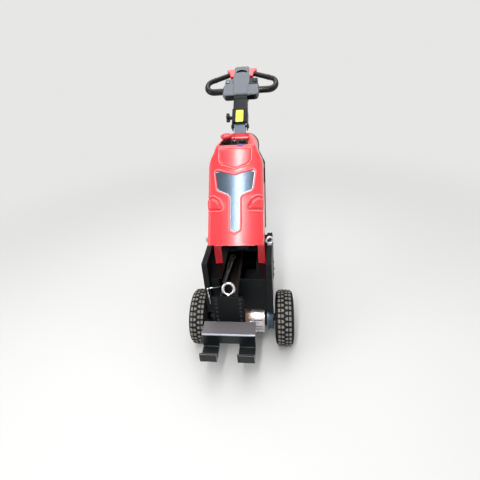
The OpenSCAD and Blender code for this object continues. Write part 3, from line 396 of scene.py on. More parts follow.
def prism(outline, low, high, side_on=False):
    """Outline in X and Z from y low to high, or in Y and Z from x low to high."""
    n = len(outline)
    if side_on:
        points = [(d, a, b) for d in (low, high) for a, b in outline]
    else:
        points = [(a, d, b) for d in (low, high) for a, b in outline]
    faces = [tuple(range(n - 1, -1, -1)), tuple(range(n, 2 * n))]
    faces += [(i, (i + 1) % n, n + (i + 1) % n, n + i) for i in range(n)]
    return points, faces


def lathe(profile, steps=64, centre=(0, 0, 0), axis="X"):
    """Profile of (along, radius) turned about an axis; an end with radius 0 closes the form."""
    points, faces, rings = [], [], []
    for along, radius in profile:
        if radius == 0:
            rings.append([len(points)] * steps)
            turned = [(along, 0, 0)]
        else:
            rings.append(list(range(len(points), len(points) + steps)))
            angles = [2 * pi * k / steps for k in range(steps)]
            turned = [(along, radius * cos(angle), radius * sin(angle)) for angle in angles]
        for a, b, c in turned:
            a, b, c = {"X": (a, b, c), "Y": (b, a, -c), "Z": (b, c, a)}[axis]
            points.append((a + centre[0], b + centre[1], c + centre[2]))
    for one, two in zip(rings, rings[1:]):
        for k in range(steps):
            face = [one[k], one[(k + 1) % steps], two[(k + 1) % steps], two[k]]
            faces.append(tuple(dict.fromkeys(face)))
    return points, faces


def tube(path, radius, sides=16):
    """Round bar along a path, closed at both ends; radius is one value or one for each point."""
    path = [Vector(p) for p in path]
    radii = radius if isinstance(radius, list) else [radius] * len(path)
    points, faces = [], []
    across = None
    for i, p in enumerate(path):
        ahead = (path[min(i + 1, len(path) - 1)] - path[max(i - 1, 0)]).normalized()
        if across is None:
            across = ahead.orthogonal()
        across = (across - ahead * across.dot(ahead)).normalized()
        up = ahead.cross(across)
        for k in range(sides):
            a = 2 * pi * k / sides
            points.append(tuple(p + radii[i] * (cos(a) * across + sin(a) * up)))
    for i in range(len(path) - 1):
        for k in range(sides):
            a, b = i * sides + k, i * sides + (k + 1) % sides
            faces.append((a, b, b + sides, a + sides))
    last = (len(path) - 1) * sides
    faces += [tuple(range(sides - 1, -1, -1)), tuple(range(last, last + sides))]
    return points, faces


def box(low, high):
    (x0, y0, z0), (x1, y1, z1) = low, high
    return prism([(x0, z0), (x1, z0), (x1, z1), (x0, z1)], y0, y1)


def moved(shape, matrix):
    return [tuple(matrix @ Vector(p)) for p in shape[0]], shape[1]


# Hexagonal heads: the washer and the chamfer, as shares of a bolt's radius and height
WASHER_R, WASHER_T, CHAMFER_R, CHAMFER_AT = 1.35, 0.2, 0.85, 0.9


def hex_bolt(centre, radius, height, turn):
    """Hexagonal head with a washer, standing on centre along the Z of a turn matrix."""
    low, bend = height * WASHER_T, height * CHAMFER_AT
    head = lathe([(0, 0), (0, radius * WASHER_R), (low, radius * WASHER_R)], 24, axis="Z")
    side = [(low, 0), (low, radius), (bend, radius), (height, radius * CHAMFER_R), (height, 0)]
    nut = lathe(side, 6, axis="Z")
    matrix = Matrix.Translation(centre) @ turn
    return [moved(head, matrix), moved(nut, matrix)]


def bolt_ring(count, x, reach, radius, height, turn, shift=0):
    """Bolts on a circle about the wheels' axis, turned on by a share of their spacing."""
    bolts = []
    for k in range(count):
        a = 2 * pi * (k + shift) / count
        bolts += hex_bolt((x, reach * sin(a), reach * cos(a)), radius, height, turn)
    return bolts


TO_RIGHT = Matrix.Rotation(radians(90), 4, "Y")
TO_LEFT = Matrix.Rotation(radians(-90), 4, "Y")


def rounded(rows, steps=6):
    """Outline from rows of (across, up, radius), with arcs at its corners."""
    out = []
    for i, (x, y, r) in enumerate(rows):
        b = Vector((x, y))
        if r == 0:
            out.append((x, y))
            continue
        a, c = Vector(rows[i - 1][:2]), Vector(rows[(i + 1) % len(rows)][:2])
        u, w = (a - b).normalized(), (c - b).normalized()
        half = u.angle(w) / 2
        middle = b + (u + w).normalized() * r / sin(half)
        p, q = b + u * r / tan(half) - middle, b + w * r / tan(half) - middle
        start = atan2(p.y, p.x)
        turn = (atan2(q.y, q.x) - start + 3 * pi) % (2 * pi) - pi
        for k in range(steps + 1):
            angle = start + turn * k / steps
            out.append((middle.x + r * cos(angle), middle.y + r * sin(angle)))
    return out


def both_sides(rows):
    """Rows of the right half, then their mirror images; rows on the middle line stay single."""
    return rows + [(-x, y, r) for x, y, r in reversed(rows) if x > 0]


def both_faces(profile, steps):
    """A turned form and its mirror image across the wheel's middle."""
    return [lathe(profile, steps), lathe([(-a, r) for a, r in profile[::-1]], steps)]


# Edges sharper than this many degrees are softened or shown sharp; points this near, in metres, are merged
SHARP_ANGLE = 34
MERGE_REACH, NODE_MERGE_REACH = 1e-6, 1e-5


def soften(piece, width, angle=SHARP_ANGLE):
    bevel = piece.modifiers.new("edge", "BEVEL")
    bevel.width = width * MM
    bevel.segments = 2
    bevel.limit_method = "ANGLE"
    bevel.angle_limit = radians(angle)
    bevel.harden_normals = True


def build(name, shapes, look, body="frame", where=ROW, edge=0.8, replaces=(), angle=SHARP_ANGLE, slot=None):
    """One piece from shapes in a local frame, with edges softened by edge or, at 0, left as they are."""
    points, faces = [], []
    for shape_points, shape_faces in shapes:
        first = len(points)
        points += [tuple(where @ Vector(p)) for p in shape_points]
        faces += [tuple(i + first for i in face) for face in shape_faces]
    mesh = bpy.data.meshes.new(name)
    mesh.from_pydata(points, [], faces)
    form = bmesh.new()
    form.from_mesh(mesh)
    bmesh.ops.remove_doubles(form, verts=form.verts, dist=MERGE_REACH)
    bmesh.ops.recalc_face_normals(form, faces=form.faces)
    form.to_mesh(mesh)
    form.free()
    mesh.shade_smooth()
    piece = finish_piece(name, mesh, look, body, replaces)
    if edge:
        soften(piece, edge, angle)
    else:
        mesh.set_sharp_from_angle(angle=radians(angle))
    return piece


def at(spot, shapes):
    return [moved(shape, spot) for shape in shapes]


def head_piece(name, shapes, look, edge=0, **rest):
    build(name, shapes, look, "tiller", HEAD, edge=edge, **rest)


def finish_piece(name, mesh, look, body, replaces=()):
    piece = add_object(name, mesh)
    mesh.materials.append(LOOKS[look])
    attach(piece, body)
    if replaces:
        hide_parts(*replaces)
    return piece


# Lanyard: a stiff wire from the strap's end to the linch pin; its length is in metres
WIRE_ROUTE = [(-74, -4, 353), (-76, -26, 356), (-82, -52, 368), (-100, -72, 378), (-122, -80, 382),
              (-137, -80, 376), (-136, -80, 360), (-133, -80, 340)]
WIRE_R, WIRE_LENGTH, WIRE_STEPS = 1.5, 0.158, 4
# Ferrules: where each starts and stops among the wire's points, and its radius
FERRULES = ((14, 18, 3.2), (18, 21, 4.2), (24, None, 2.8))


def smooth_path(route, steps):
    """Curve through all the points of a route."""
    p = [Vector(q) for q in route]
    p = [2 * p[0] - p[1]] + p + [2 * p[-1] - p[-2]]
    out = []
    for a, b, c, d in zip(p, p[1:], p[2:], p[3:]):
        for k in range(steps):
            t = k / steps
            out.append((2 * b + (c - a) * t + (2 * a - 5 * b + 4 * c - d) * t * t
                        + (3 * b - a - 3 * c + d) * t ** 3) / 2)
    return out + [p[-2]]


def make_lanyard():
    path = smooth_path(WIRE_ROUTE, WIRE_STEPS)
    wire = build("lanyard_wire", [tube(path, WIRE_R, 12)], "wire", edge=0, replaces=("lanyard",))
    ferrules = [tube(path[first:last], radius) for first, last, radius in FERRULES]
    sleeves = build("lanyard_ferrules", ferrules, "bright_steel", edge=0.3)


make_lanyard()


# Moulded forms: a field of signed distance in millimetres, skinned with evenly spread quads

def rmax(a, b, r):
    """What two forms share, with a round edge of radius r."""
    return np.minimum(np.maximum(a, b), -r) + np.hypot(np.maximum(a + r, 0), np.maximum(b + r, 0))


def rmin(a, b, r):
    """Two forms joined, with a round hollow of radius r."""
    return np.maximum(np.minimum(a, b), r) - np.hypot(np.maximum(r - a, 0), np.maximum(r - b, 0))


def outline_field(outline, x, y):
    """Distance to a closed outline, negative inside."""
    x, y = np.broadcast_arrays(np.asarray(x, float), np.asarray(y, float))
    near = np.full(x.shape, np.inf)
    inside = np.zeros(x.shape, bool)
    for (ax, ay), (bx, by) in zip(outline, outline[1:] + outline[:1]):
        ex, ey = bx - ax, by - ay
        along = np.clip(((x - ax) * ex + (y - ay) * ey) / max(ex * ex + ey * ey, 1e-9), 0, 1)
        near = np.minimum(near, (x - ax - along * ex) ** 2 + (y - ay - along * ey) ** 2)
        if ay != by:
            inside ^= ((ay > y) != (by > y)) & (x < ax + (y - ay) * ex / ey)
    return np.where(inside, -1, 1) * np.sqrt(near)


def step_up(a, b, t):
    """0 below a, 1 above b, smooth between."""
    s = np.clip((t - a) / (b - a), 0, 1)
    return s * s * (3 - 2 * s)


QUICK_STEP, SLOPE_REACH = 1.7, 0.2
# Corners move to the form in SNAPS steps, by at most SNAP_REACH of a cell
SNAPS, SNAP_REACH, LEAST_SLOPE = 3, 0.8, 0.04


def slope_of(field, p, here, h=SLOPE_REACH):
    return np.stack([(field(*(p + h * e).T) - here) / h for e in np.eye(3)], axis=1)


def quads_between(inside, index):
    """Quads that join the cells round each grid edge on which the form starts or ends."""
    faces = []
    for axis in range(3):
        one, two = [slice(1, -1)] * 3, [slice(1, -1)] * 3
        one[axis], two[axis] = slice(0, -1), slice(1, None)
        a, b = inside[tuple(one)], inside[tuple(two)]
        others = [q for q in range(3) if q != axis]
        for flip in (False, True):
            at = np.argwhere((a & ~b) if flip else (~a & b))
            for q in others:
                at[:, q] += 1
            ring = []
            for du, dv in ((-1, -1), (0, -1), (0, 0), (-1, 0)):
                cell = at.copy()
                cell[:, others[0]] += du
                cell[:, others[1]] += dv
                ring.append(index[tuple(cell.T)])
            quads = np.stack(ring, axis=1)
            faces.append(quads[:, ::-1] if flip ^ (axis == 1) else quads)
    return np.concatenate(faces)


def moulded(name, field, low, high, step, look, body="frame", where=ROW, drop=None, replaces=()):
    """Skin of the form where field < 0; faces whose middle is in drop are left open."""
    step = step
    axes = [np.arange(a, b + step, step) for a, b in zip(low, high)]
    x, y, z = np.meshgrid(*axes, indexing="ij", sparse=True)
    inside = np.broadcast_to(field(x, y, z), [len(a) for a in axes]) < 0
    nx, ny, nz = [n - 1 for n in inside.shape]
    count = np.zeros((nx, ny, nz), np.int8)
    for i, j, k in np.ndindex(2, 2, 2):
        count += inside[i:nx + i, j:ny + j, k:nz + k]
    crossed = (count > 0) & (count < 8)
    index = np.full(crossed.shape, -1)
    cells = np.argwhere(crossed)
    index[crossed] = np.arange(len(cells))
    middle = np.array(low) + (cells + 0.5) * step
    p = middle.copy()
    for _ in range(SNAPS):
        here = field(*p.T)
        slope = slope_of(field, p, here)
        p -= (here / np.maximum((slope ** 2).sum(axis=1), LEAST_SLOPE))[:, None] * slope
        p = np.clip(p, middle - step * SNAP_REACH, middle + step * SNAP_REACH)
    faces = quads_between(inside, index)
    if drop:
        faces = faces[~drop(*p[faces].mean(axis=1).T)]
    slope = slope_of(field, p, field(*p.T))
    turn = np.array(where.to_3x3()) / MM
    normals = (slope / np.linalg.norm(slope, axis=1)[:, None]) @ turn.T
    world = p @ np.array(where.to_3x3()).T + np.array(where.translation)
    used, faces = np.unique(faces, return_inverse=True)
    faces = faces.reshape(-1, 4)[:, ::-1]
    mesh = bpy.data.meshes.new(name)
    mesh.from_pydata(world[used].tolist(), [], faces.tolist())
    mesh.shade_smooth()
    mesh.normals_split_custom_set_from_vertices(normals[used].tolist())
    return finish_piece(name, mesh, look, body, replaces)


# Cover: the same sizes as in the part's source
COVER_X, BULGE_R, COVER_DEEP, BACK_SLOPE, FOOT_W = 120, 606, 223, 0.110448, 103
BEND_V, BEND_W = 105, 19
CROWN_Z, CROWN_X, CROWN_R, CROWN_RISE, CROWN_HIGH = 941, 92, 60, radians(28), 423.8
SHOULDER_W, SHOULDER_RISE, LEDGE_X, LEDGE_W = 370, radians(16), 90, 428
LEAN = radians(COVER_LEAN)
FRONT_R, SHOULDER_R, LEDGE_R, NECK_R, TOP_R = 14, 14, 1, 9, 7
POCKET, POCKET_DEEP, POCKET_R, POCKET_EDGE_R = ((-73, 221), (53, 346)), 22, 8, 7

# Its moulded details, as outlines in the cover's frame
INLAY = rounded(both_sides([(0, 58, 0), (19.5, 70, 4), (19.5, 210, 12), (30, 222, 12), (75, 242, 14),
                            (87, 331, 8), (0, 305, 0)]))
SHIELD = rounded(both_sides([(0, 330, 12), (60, 350, 10), (76, 374, 10), (76, 434, 8)]))
PAD = rounded([(132, 157, 0), (63, 157, 5), (58, 167, 8), (72, 194, 24), (95, 208, 12), (132, 208, 0)])
RECESS = rounded([(24, 218, 10), (24, 352, 14), (196, 398, 14), (206, 330, 10), (120, 252, 10),
                  (112, 218, 10)])

# Their heights, and the height, place and half width of what follows an outline
BED_DEEP, SHIELD_HIGH, PAD_HIGH, RECESS_DEEP = 3.2, 3.6, 4.6, 2.6
LIP_HIGH, LIP_AT, LIP_HALF = 3.0, 6, 4.5
GROOVE, CREASE, OUTER_RIDGE = (3.2, 8, 2.2), (2.2, 1, 2.0), (2.4, 9, 3.2)

# Where they fade out or in
FRONT_FADE, SHIELD_FADE, CORNER_FADE, SIDE_FADE = (24, 34), (424, 440), (100, 140), (108, 117)


def bow(x):
    return BULGE_R - np.sqrt(BULGE_R ** 2 - x * x)


def upright(v, w):
    """Y from the axle and Z of a place in the cover's frame."""
    y = v * cos(LEAN) + w * sin(LEAN) - COVER_FRONT
    z = COVER_LOW + w * cos(LEAN) - v * sin(LEAN)
    return y, z


def cover_back(v, w):
    return (v - COVER_DEEP + BACK_SLOPE * (w - FOOT_W)) / hypot(1, BACK_SLOPE)


def cover_bottom(v, w):
    """The underside, in two planes that meet at the bend."""
    front = (BEND_W * v - BEND_V * w) / hypot(BEND_W, BEND_V)
    rise, run = FOOT_W - BEND_W, COVER_DEEP - BEND_V
    rear = (rise * (v - BEND_V) - run * (w - BEND_W)) / hypot(rise, run)
    return np.maximum(front, rear)


def cover_form(x, v, w):
    """The cover's plain form: bowed front, ledged shoulders and a flat-topped crown."""
    ax = np.abs(x)
    front = np.hypot(x, BULGE_R - v) - BULGE_R
    share = cos(SHOULDER_RISE)
    rise = w * share - v * sin(SHOULDER_RISE)
    run, across = (LEDGE_W - SHOULDER_W) * share, COVER_X - LEDGE_X
    ledge = ((ax - COVER_X) * run + (rise - SHOULDER_W * share) * across) / hypot(run, across)
    lower = rmax(rmax(ax - COVER_X, ledge, SHOULDER_R), ax - COVER_X, LEDGE_R)
    high = w * cos(CROWN_RISE) - v * sin(CROWN_RISE)
    beside = np.maximum(ax - CROWN_X + CROWN_R, 0)
    above = np.maximum(high - CROWN_HIGH + CROWN_R, 0)
    crown = np.hypot(beside, above) - CROWN_R
    top = upright(v, w)[1] - CROWN_Z
    sides = rmin(lower, crown, NECK_R)
    body = rmax(rmax(sides, front, FRONT_R), top, TOP_R)
    return np.maximum(np.maximum(body, cover_back(v, w)), cover_bottom(v, w))


def soft_ridge(height, middle, half, t):
    return height * np.exp(-((t - middle) / half) ** 2)


def cover_relief(x, v, w):
    """Height of the moulded details over the plain form."""
    ax = np.abs(x)
    film = outline_field(INLAY, ax, w)
    lip = LIP_HIGH * np.clip(1 - ((film - LIP_AT) / LIP_HALF) ** 2, 0, 1)
    bed = -BED_DEEP * (1 - step_up(-0.4, 1.6, film))
    inside = -outline_field(SHIELD, ax, w)
    shield = SHIELD_HIGH * step_up(-0.5, 2.5, inside) - soft_ridge(*GROOVE, inside)
    shield = shield * (1 - step_up(*SHIELD_FADE, w))
    pad = outline_field(PAD, ax, w)
    ridge = PAD_HIGH * step_up(-1, 12, -pad)
    crease = soft_ridge(*OUTER_RIDGE, pad) - soft_ridge(*CREASE, pad)
    hollow = -RECESS_DEEP * step_up(-4, 7, -outline_field(RECESS, v, w))
    at_front = 1 - step_up(*FRONT_FADE, v)
    at_corner = 1 - step_up(*CORNER_FADE, v)
    at_side = step_up(*SIDE_FADE, ax)
    return at_front * (lip + bed + shield) + at_corner * (ridge + crease) + at_side * hollow


def pocket_field(x, v, w):
    y, z = upright(v, w)
    (x0, y0), (x1, y1) = POCKET
    wall = rmax(np.maximum(x0 - x, x - x1), np.maximum(y0 - y, y - y1), POCKET_R)
    return np.maximum(wall, CROWN_Z - POCKET_DEEP - z)


def cover_field(x, v, w):
    return rmax(cover_form(x, v, w) - cover_relief(x, v, w), -pocket_field(x, v, w), POCKET_EDGE_R)


def open_side(x, v, w):
    """The shell's open back and underside, and the pocket's floor."""
    y, z = upright(v, w)
    (x0, y0), (x1, y1) = POCKET
    floor = (x > x0) & (x < x1) & (y > y0) & (y < y1) & (z < CROWN_Z - FLOOR_BELOW)
    return (cover_back(v, w) > -SHELL_REACH) | (cover_bottom(v, w) > -SHELL_REACH) | floor


def liner_field(x, v, w):
    return np.maximum(cover_form(x, v, w) + LINER_INSET, LINER_CLEAR - pocket_field(x, v, w))


def liner_open(x, v, w):
    return (cover_back(v, w) > -LINER_CELL) | (cover_bottom(v, w) > -LINER_CELL)


def draped(outline, height):
    """Panel inside an outline in X and w that follows the bowed front, height above it."""
    form = bmesh.new()
    corners = [form.verts.new((x, 0, w)) for x, w in outline]
    form.faces.new(corners)
    for x in range(-DRAPE_X, DRAPE_X + 1, DRAPE_STEP):
        bmesh.ops.bisect_plane(form, geom=form.verts[:] + form.edges[:] + form.faces[:], dist=CUT_REACH,
                               plane_co=(x, 0, 0), plane_no=(1, 0, 0))
    for vert in form.verts:
        vert.co.y = float(bow(vert.co.x)) - height
    form.verts.index_update()
    shape = [tuple(v.co) for v in form.verts], [tuple(v.index for v in face.verts) for face in form.faces]
    form.free()
    return shape


# Cells of the two skins, what is left open of them, the film's strips and depth, and its rim
SHELL_CELL, SHELL_REACH, FLOOR_BELOW = 2.1, 1.2, 20
LINER_CELL, LINER_INSET, LINER_CLEAR = 8, 5, 12
DRAPE_X, DRAPE_STEP, CUT_REACH, FILM_DEEP = 84, 6, 1e-4, 2.2
RIM_R, RIM_DEEP, RIM_TOP, RIM_SIDE = 1.3, 1.6, 300, 84
LEG_X, LEG_W, LEG_T, LEG_Y, LEG_DEEP, DECK_Z, LEG_TOP = 120, 34, 4, 76, 38, 402, 560


def make_skins():
    moulded("cover_shell", cover_field, (-126, -6, -4), (126, 228, 590), SHELL_CELL, "red_cover", where=COVER,
            drop=open_side, replaces=("cover",))
    moulded("cover_liner", liner_field, (-124, -4, -4), (124, 228, 590), LINER_CELL, "red_cover", where=COVER,
            drop=liner_open)


def make_legs():
    legs = []
    for s in (-1, 1):
        wall = sorted((s * LEG_X, s * (LEG_X - LEG_T)))
        face = sorted((s * LEG_X, s * (LEG_X - LEG_W)))
        legs += [box((wall[0], LEG_Y, DECK_Z), (wall[1], LEG_Y + LEG_DEEP, LEG_TOP)),
                 box((face[0], LEG_Y, DECK_Z), (face[1], LEG_Y + LEG_T, LEG_TOP))]
    build("cover_legs", legs, "red_paint", edge=1.6, slot="red_cover")


def make_film():
    """The film and its rim, whose tube starts just past the film's top left corner."""
    film = draped(INLAY, -FILM_DEEP)
    build("inlay_film", [film], "silver_film", where=COVER, edge=0, replaces=("cover_inlay",))
    rim = [(x, float(bow(x)) + RIM_DEEP, w) for x, w in INLAY if w < RIM_TOP or abs(x) > RIM_SIDE]
    corner = [x < -80 and w > 310 for x, y, w in rim]
    turn = next(i for i in range(len(rim)) if corner[i - 1] and rim[i][0] > -80)
    build("inlay_rim", [tube(rim[turn:] + rim[:turn], RIM_R, 8)], "rim_silver", where=COVER, edge=0,
          slot="silver_film")


make_skins()
make_legs()
make_film()


# Stop button, key switch, gauge and lens on the crown
TRAY_Z, CONTROLS_Y, STOP_X, KEY_X, GAUGE_X = 929, 302, -50, -14, 24
LENS_Y, LENS_STRETCH = 214, 2.4
STOP_SIDE = [(10, 14), (16, 17), (20, 23), (24, 26.6), (28, 27.5), (33, 27), (37, 23.5), (40, 16), (41.4, 10),
             (40.6, 6), (40.2, 0)]
STOP_LOBES, LOBE_DEEP, LOBE_FADE = 10, 2.2, (17, 24)


def make_tray():
    (x0, y0), (x1, y1) = POCKET
    tray = [box((x0 + 1, y0 + 1, TRAY_Z - 2), (x1 - 1, y1 - 1, TRAY_Z)),
            lathe([(0, 16), (7, 16), (7, 0)], 48, (GAUGE_X, CONTROLS_Y, TRAY_Z), "Z"),
            lathe([(0, 10), (9, 10), (9, 0)], 40, (KEY_X, CONTROLS_Y, TRAY_Z), "Z")]
    build("control_tray", tray, "black_plastic", edge=0.5, replaces=("control_panel",))


def make_stop():
    """Stop button on its collar, with dents round its rim."""
    stop = (STOP_X, CONTROLS_Y, TRAY_Z)
    collar = lathe([(0, 20), (8, 20), (11, 16.5), (18, 16.5)], 48, stop, "Z")
    build("stop_collar", [collar], "black_plastic")
    points, faces = lathe(STOP_SIDE, 96, stop, "Z")
    lobed = []
    for x, y, z in points:
        dx, dy = x - stop[0], y - stop[1]
        out = hypot(dx, dy)
        lobe = 0.5 - 0.5 * cos(STOP_LOBES * atan2(dy, dx))
        dent = LOBE_DEEP * step_up(*LOBE_FADE, np.array(out)) * lobe
        k = 1 - float(dent) / max(out, 1)
        lobed.append((stop[0] + dx * k, stop[1] + dy * k, z))
    build("stop_button", [(lobed, faces)], "red_plastic", edge=0, replaces=("emergency_stop",))


def make_dials():
    """The gauge and the key switch."""
    gauge, key = (GAUGE_X, CONTROLS_Y, TRAY_Z), (KEY_X, CONTROLS_Y, TRAY_Z)
    ring = lathe([(6, 16), (8.5, 15.5), (9, 14), (7, 13), (6.6, 0)], 48, gauge, "Z")
    build("gauge_ring", [ring], "black_plastic")
    face = lathe([(7.1, 12.8), (7.6, 12), (7.8, 0)], 48, gauge, "Z")
    build("gauge_face", [face], "gauge_glass", slot="black_plastic")
    ring = lathe([(8, 10), (10, 9), (10, 4), (8.6, 3.6), (8.6, 0)], 40, key, "Z")
    build("key_ring", [ring], "bright_steel")
    grip = box((KEY_X - 1.6, CONTROLS_Y - 9, TRAY_Z + 8), (KEY_X + 1.6, CONTROLS_Y + 9, TRAY_Z + 22))
    build("key_grip", [grip], "black_plastic", edge=1.4)


def make_lens():
    dome = lathe([(0, 5.5), (1.5, 5.3), (2.6, 3.6), (3.0, 0)], 40, axis="Z")
    spot = Matrix.Translation((GAUGE_X, LENS_Y, CROWN_Z - 0.6))
    lens = moved(dome, spot @ Matrix.Diagonal((LENS_STRETCH, 1, 1, 1)))
    build("lens", [lens], "blue_lens", edge=0, slot="black_plastic")


make_tray()
make_stop()
make_dials()
make_lens()


# Tyres: rows of blocks by place across, offset in blocks and the side on which they are pointed
BLOCK_ROWS = ((-25, 0.0, 0), (-9.6, 0.0, 1), (9.6, 0.5, -1), (25, 0.5, 0))
BLOCKS_ROUND, BLOCK_W, BLOCK_LEN, BLOCK_DEEP = 34, 11.2, 18, 4.2
CORNER_R, TIP_OUT, TIP_R, TIP_START, TIP_CORNER_R = 2.5, 2.6, 4, 0.62, 2

# Depth and growth of a block's foot, rounded edge and top; only the top has more corners than TOP_CORNERS
BLOCK_LAYERS, TOP_CORNERS = ((BLOCK_DEEP, 1.08), (0.7, 1.0), (0.0, 0.9)), 8

# The tread's crown: play below the tyre's radius, fall at half width, and how sharply it bends
CROWN_PLAY, CROWN_FALL, CROWN_HALF, CROWN_BEND = 0.15, 5.2, 38, 2.6
LUG, LUG_HALF = [(33.5, 125.5), (37.5, 121.5), (40.6, 113), (39.8, 112.5), (34, 119)], 3.2
RIB, RIB_R = ((43.2, -1.6), (44.0, -0.6), (44.0, 0.6), (43.2, 1.6)), 92


def crown_radius(x):
    return TYRE_R - CROWN_PLAY - CROWN_FALL * (abs(x) / CROWN_HALF) ** CROWN_BEND


def tread_block(x, turn, point):
    """One block of the tread; point is the side on which it is pointed."""
    half, long = BLOCK_W / 2, BLOCK_LEN / 2
    rows = [(a, s, CORNER_R) for a, s in ((-half, -long), (half, -long), (half, long), (-half, long))]
    if point:
        tip, flank = point * (half + TIP_OUT), long * TIP_START
        rows = [(-point * half, -long, CORNER_R), (point * half, -flank, TIP_CORNER_R), (tip, 0, TIP_R),
                (point * half, flank, TIP_CORNER_R), (-point * half, long, CORNER_R)]
        rows = rows if point > 0 else rows[::-1]
    outline = rounded(rows, 3)
    points, faces, n = [], [], len(outline)
    for depth, grow in BLOCK_LAYERS:
        for a, s in outline:
            xx = x + a * grow
            angle = turn + s * grow / TYRE_R
            r = crown_radius(xx) - depth
            points.append((xx, r * sin(angle), r * cos(angle)))
    for k in range(2):
        faces += [(k * n + i, k * n + (i + 1) % n, (k + 1) * n + (i + 1) % n, (k + 1) * n + i)
                  for i in range(n)]
    faces.append(tuple(range(2 * n, 3 * n)))
    return points, faces


def shoulder_lug(e, angle):
    outline = [(e * a, r) for a, r in LUG][::e]
    return moved(prism(outline, -LUG_HALF, LUG_HALF), Matrix.Rotation(-angle, 4, "X"))


def make_carcass(side, wheel, body):
    base = TYRE_R - BLOCK_DEEP
    half = [(0, base), (14, base - 0.2), (26, base - 2), (33, base - 5.5), (38.5, base - 12), (42, base - 22),
            (43.6, base - 34), (42.5, base - 46), (39, base - 55), (34, base - 62), (33, 63), (31, 60)]
    carcass = [lathe([(-x, r) for x, r in half[::-1]] + half[1:], 128)]
    carcass += [lathe([(e * a, RIB_R + d) for a, d in RIB], 128) for e in (-1, 1)]
    build(f"carcass_{side}", at(wheel, carcass), "tyre", body, edge=0, angle=50, replaces=(f"tyre_{side}",))


def make_tread(side, wheel, body):
    blocks = []
    for x, offset, point in BLOCK_ROWS:
        for k in range(BLOCKS_ROUND):
            blocks.append(tread_block(x, 2 * pi * (k + offset) / BLOCKS_ROUND, point))
    for e in (-1, 1):
        blocks += [shoulder_lug(e, pi * k / BLOCKS_ROUND) for k in range(BLOCKS_ROUND * 2)]
    tread = build(f"tread_{side}", at(wheel, blocks), "tyre", body, edge=0, angle=40)
    tread.data.materials.append(LOOKS["tread_tops"])
    for face in tread.data.polygons:
        if len(face.vertices) > TOP_CORNERS:
            face.material_index = 1


# Rims: a dished disc, a bright ring at its edge and bolts
DISH = [(-30, 63.5), (-33, 66.5), (-35.5, 66), (-35, 62), (-30, 59), (-27, 57), (-14, 55), (-11, 50),
        (-10, 42), (-16, 34), (-18, 29), (-30, 27), (-30, 12.7)]
RING = ((35.7, 65.8), (36.4, 64.5), (36.2, 62.5), (35.2, 61.6))


def make_rim(side, wheel, body):
    build(f"rim_disc_{side}", at(wheel, both_faces(DISH, 96)), "rim_black", body, edge=0.6,
          replaces=(f"rim_{side}",))
    rings = [lathe([(e * a, r) for a, r in RING], 96) for e in (-1, 1)]
    build(f"rim_ring_{side}", at(wheel, rings), "bright_steel", body, edge=0)
    bolts = bolt_ring(count=5, x=-14, reach=38, radius=5, height=5, turn=TO_LEFT)
    bolts += bolt_ring(count=5, x=14, reach=38, radius=5, height=5, turn=TO_RIGHT)
    build(f"rim_bolts_{side}", at(wheel, bolts), "bright_steel", body, edge=0.3)


def make_wheel(side, s):
    wheel, body = Matrix.Translation((s * TYRE_X, 0, TYRE_R)), f"drive_wheel_{side}"
    make_carcass(side, wheel, body)
    make_tread(side, wheel, body)
    make_rim(side, wheel, body)


for wheel_side, wheel_sign in SIDES:
    make_wheel(wheel_side, wheel_sign)


# Gear housing: two drums with end rings, ribs, bolts and plugs, and the brake's fins
GEAR_X0, GEAR_STEP, GEAR_X1, BRAKE_X0, FIN_X, BRAKE_X1 = 18, 48, 111, 121, 132, 150
RIB_ANGLES, GROOVE_ANGLES, PLUG_PLACES = (-78, -52, 40, 100, 150, 205), (36, 60, 84), (58, 68, 78)
FINS, FIN_STEP, FIN_SIDE = 5, 4, ((0, 55), (2, 55), (2.2, 51.5), (3.8, 51.5))


def turned_by(angle):
    return Matrix.Rotation(radians(angle), 4, "X")


def make_drums(axle):
    large = lathe([(GEAR_STEP, 55), (GEAR_STEP, 69), (GEAR_STEP + 1, 70), (GEAR_STEP + 7, 70),
                   (GEAR_STEP + 9, 67.5), (GEAR_X1 - 9, 67.5), (GEAR_X1 - 7, 70), (GEAR_X1 - 1, 70),
                   (GEAR_X1, 69), (GEAR_X1, 30)], 96)
    rib = box((GEAR_STEP + 6, -2, 60), (GEAR_X1 - 6, 2, 69.6))
    ribs = [moved(rib, turned_by(-angle - 90)) for angle in RIB_ANGLES]
    build("gear_drum", at(axle, [large] + ribs), "cast_aluminium", edge=1.0, replaces=("gear_housing",))
    small = [(GEAR_X0, 30), (GEAR_X0, 59), (GEAR_X0 + 2, 61.5), (GEAR_STEP, 62)]
    build("gear_neck", at(axle, [lathe(small, 96)]), "gear_brown", edge=1.0, slot="cast_aluminium")


def make_brake(axle):
    fins = [(FIN_X + FIN_STEP * k + d, r) for k in range(FINS) for d, r in FIN_SIDE]
    drum = [(BRAKE_X0, 18.6), (BRAKE_X0, 60), (BRAKE_X0 + 9, 60), (FIN_X - 1, 57)]
    brake = lathe(drum + fins + [(BRAKE_X1, 54), (BRAKE_X1, 18.6)], 96)
    build("brake_fins", at(axle, [brake]), "grey_cast", edge=0.4, replaces=("brake_drum",))


def make_gear_details(axle):
    bolts = bolt_ring(count=8, x=GEAR_STEP - 0.5, reach=64, radius=4, height=4.5, turn=TO_LEFT, shift=0.5)
    build("gear_bolts", at(axle, bolts), "bright_steel", edge=0.3)
    # Black strips across the large drum: painted shade in its grooves
    groove = box((GEAR_STEP + 12, -1.4, 66.8), (GEAR_X1 - 12, 1.4, 68.4))
    shaded_grooves = [moved(groove, turned_by(angle)) for angle in GROOVE_ANGLES]
    build("gear_groove_shade", at(axle, shaded_grooves), "black_plastic", edge=0)
    plugs = [lathe([(0, 0), (0, 6), (9, 6), (10, 4), (10, 0)], 24, (x, 22, -66), "Z") for x in PLUG_PLACES]
    build("gear_plugs", at(axle, plugs), "bright_steel", edge=0.4)


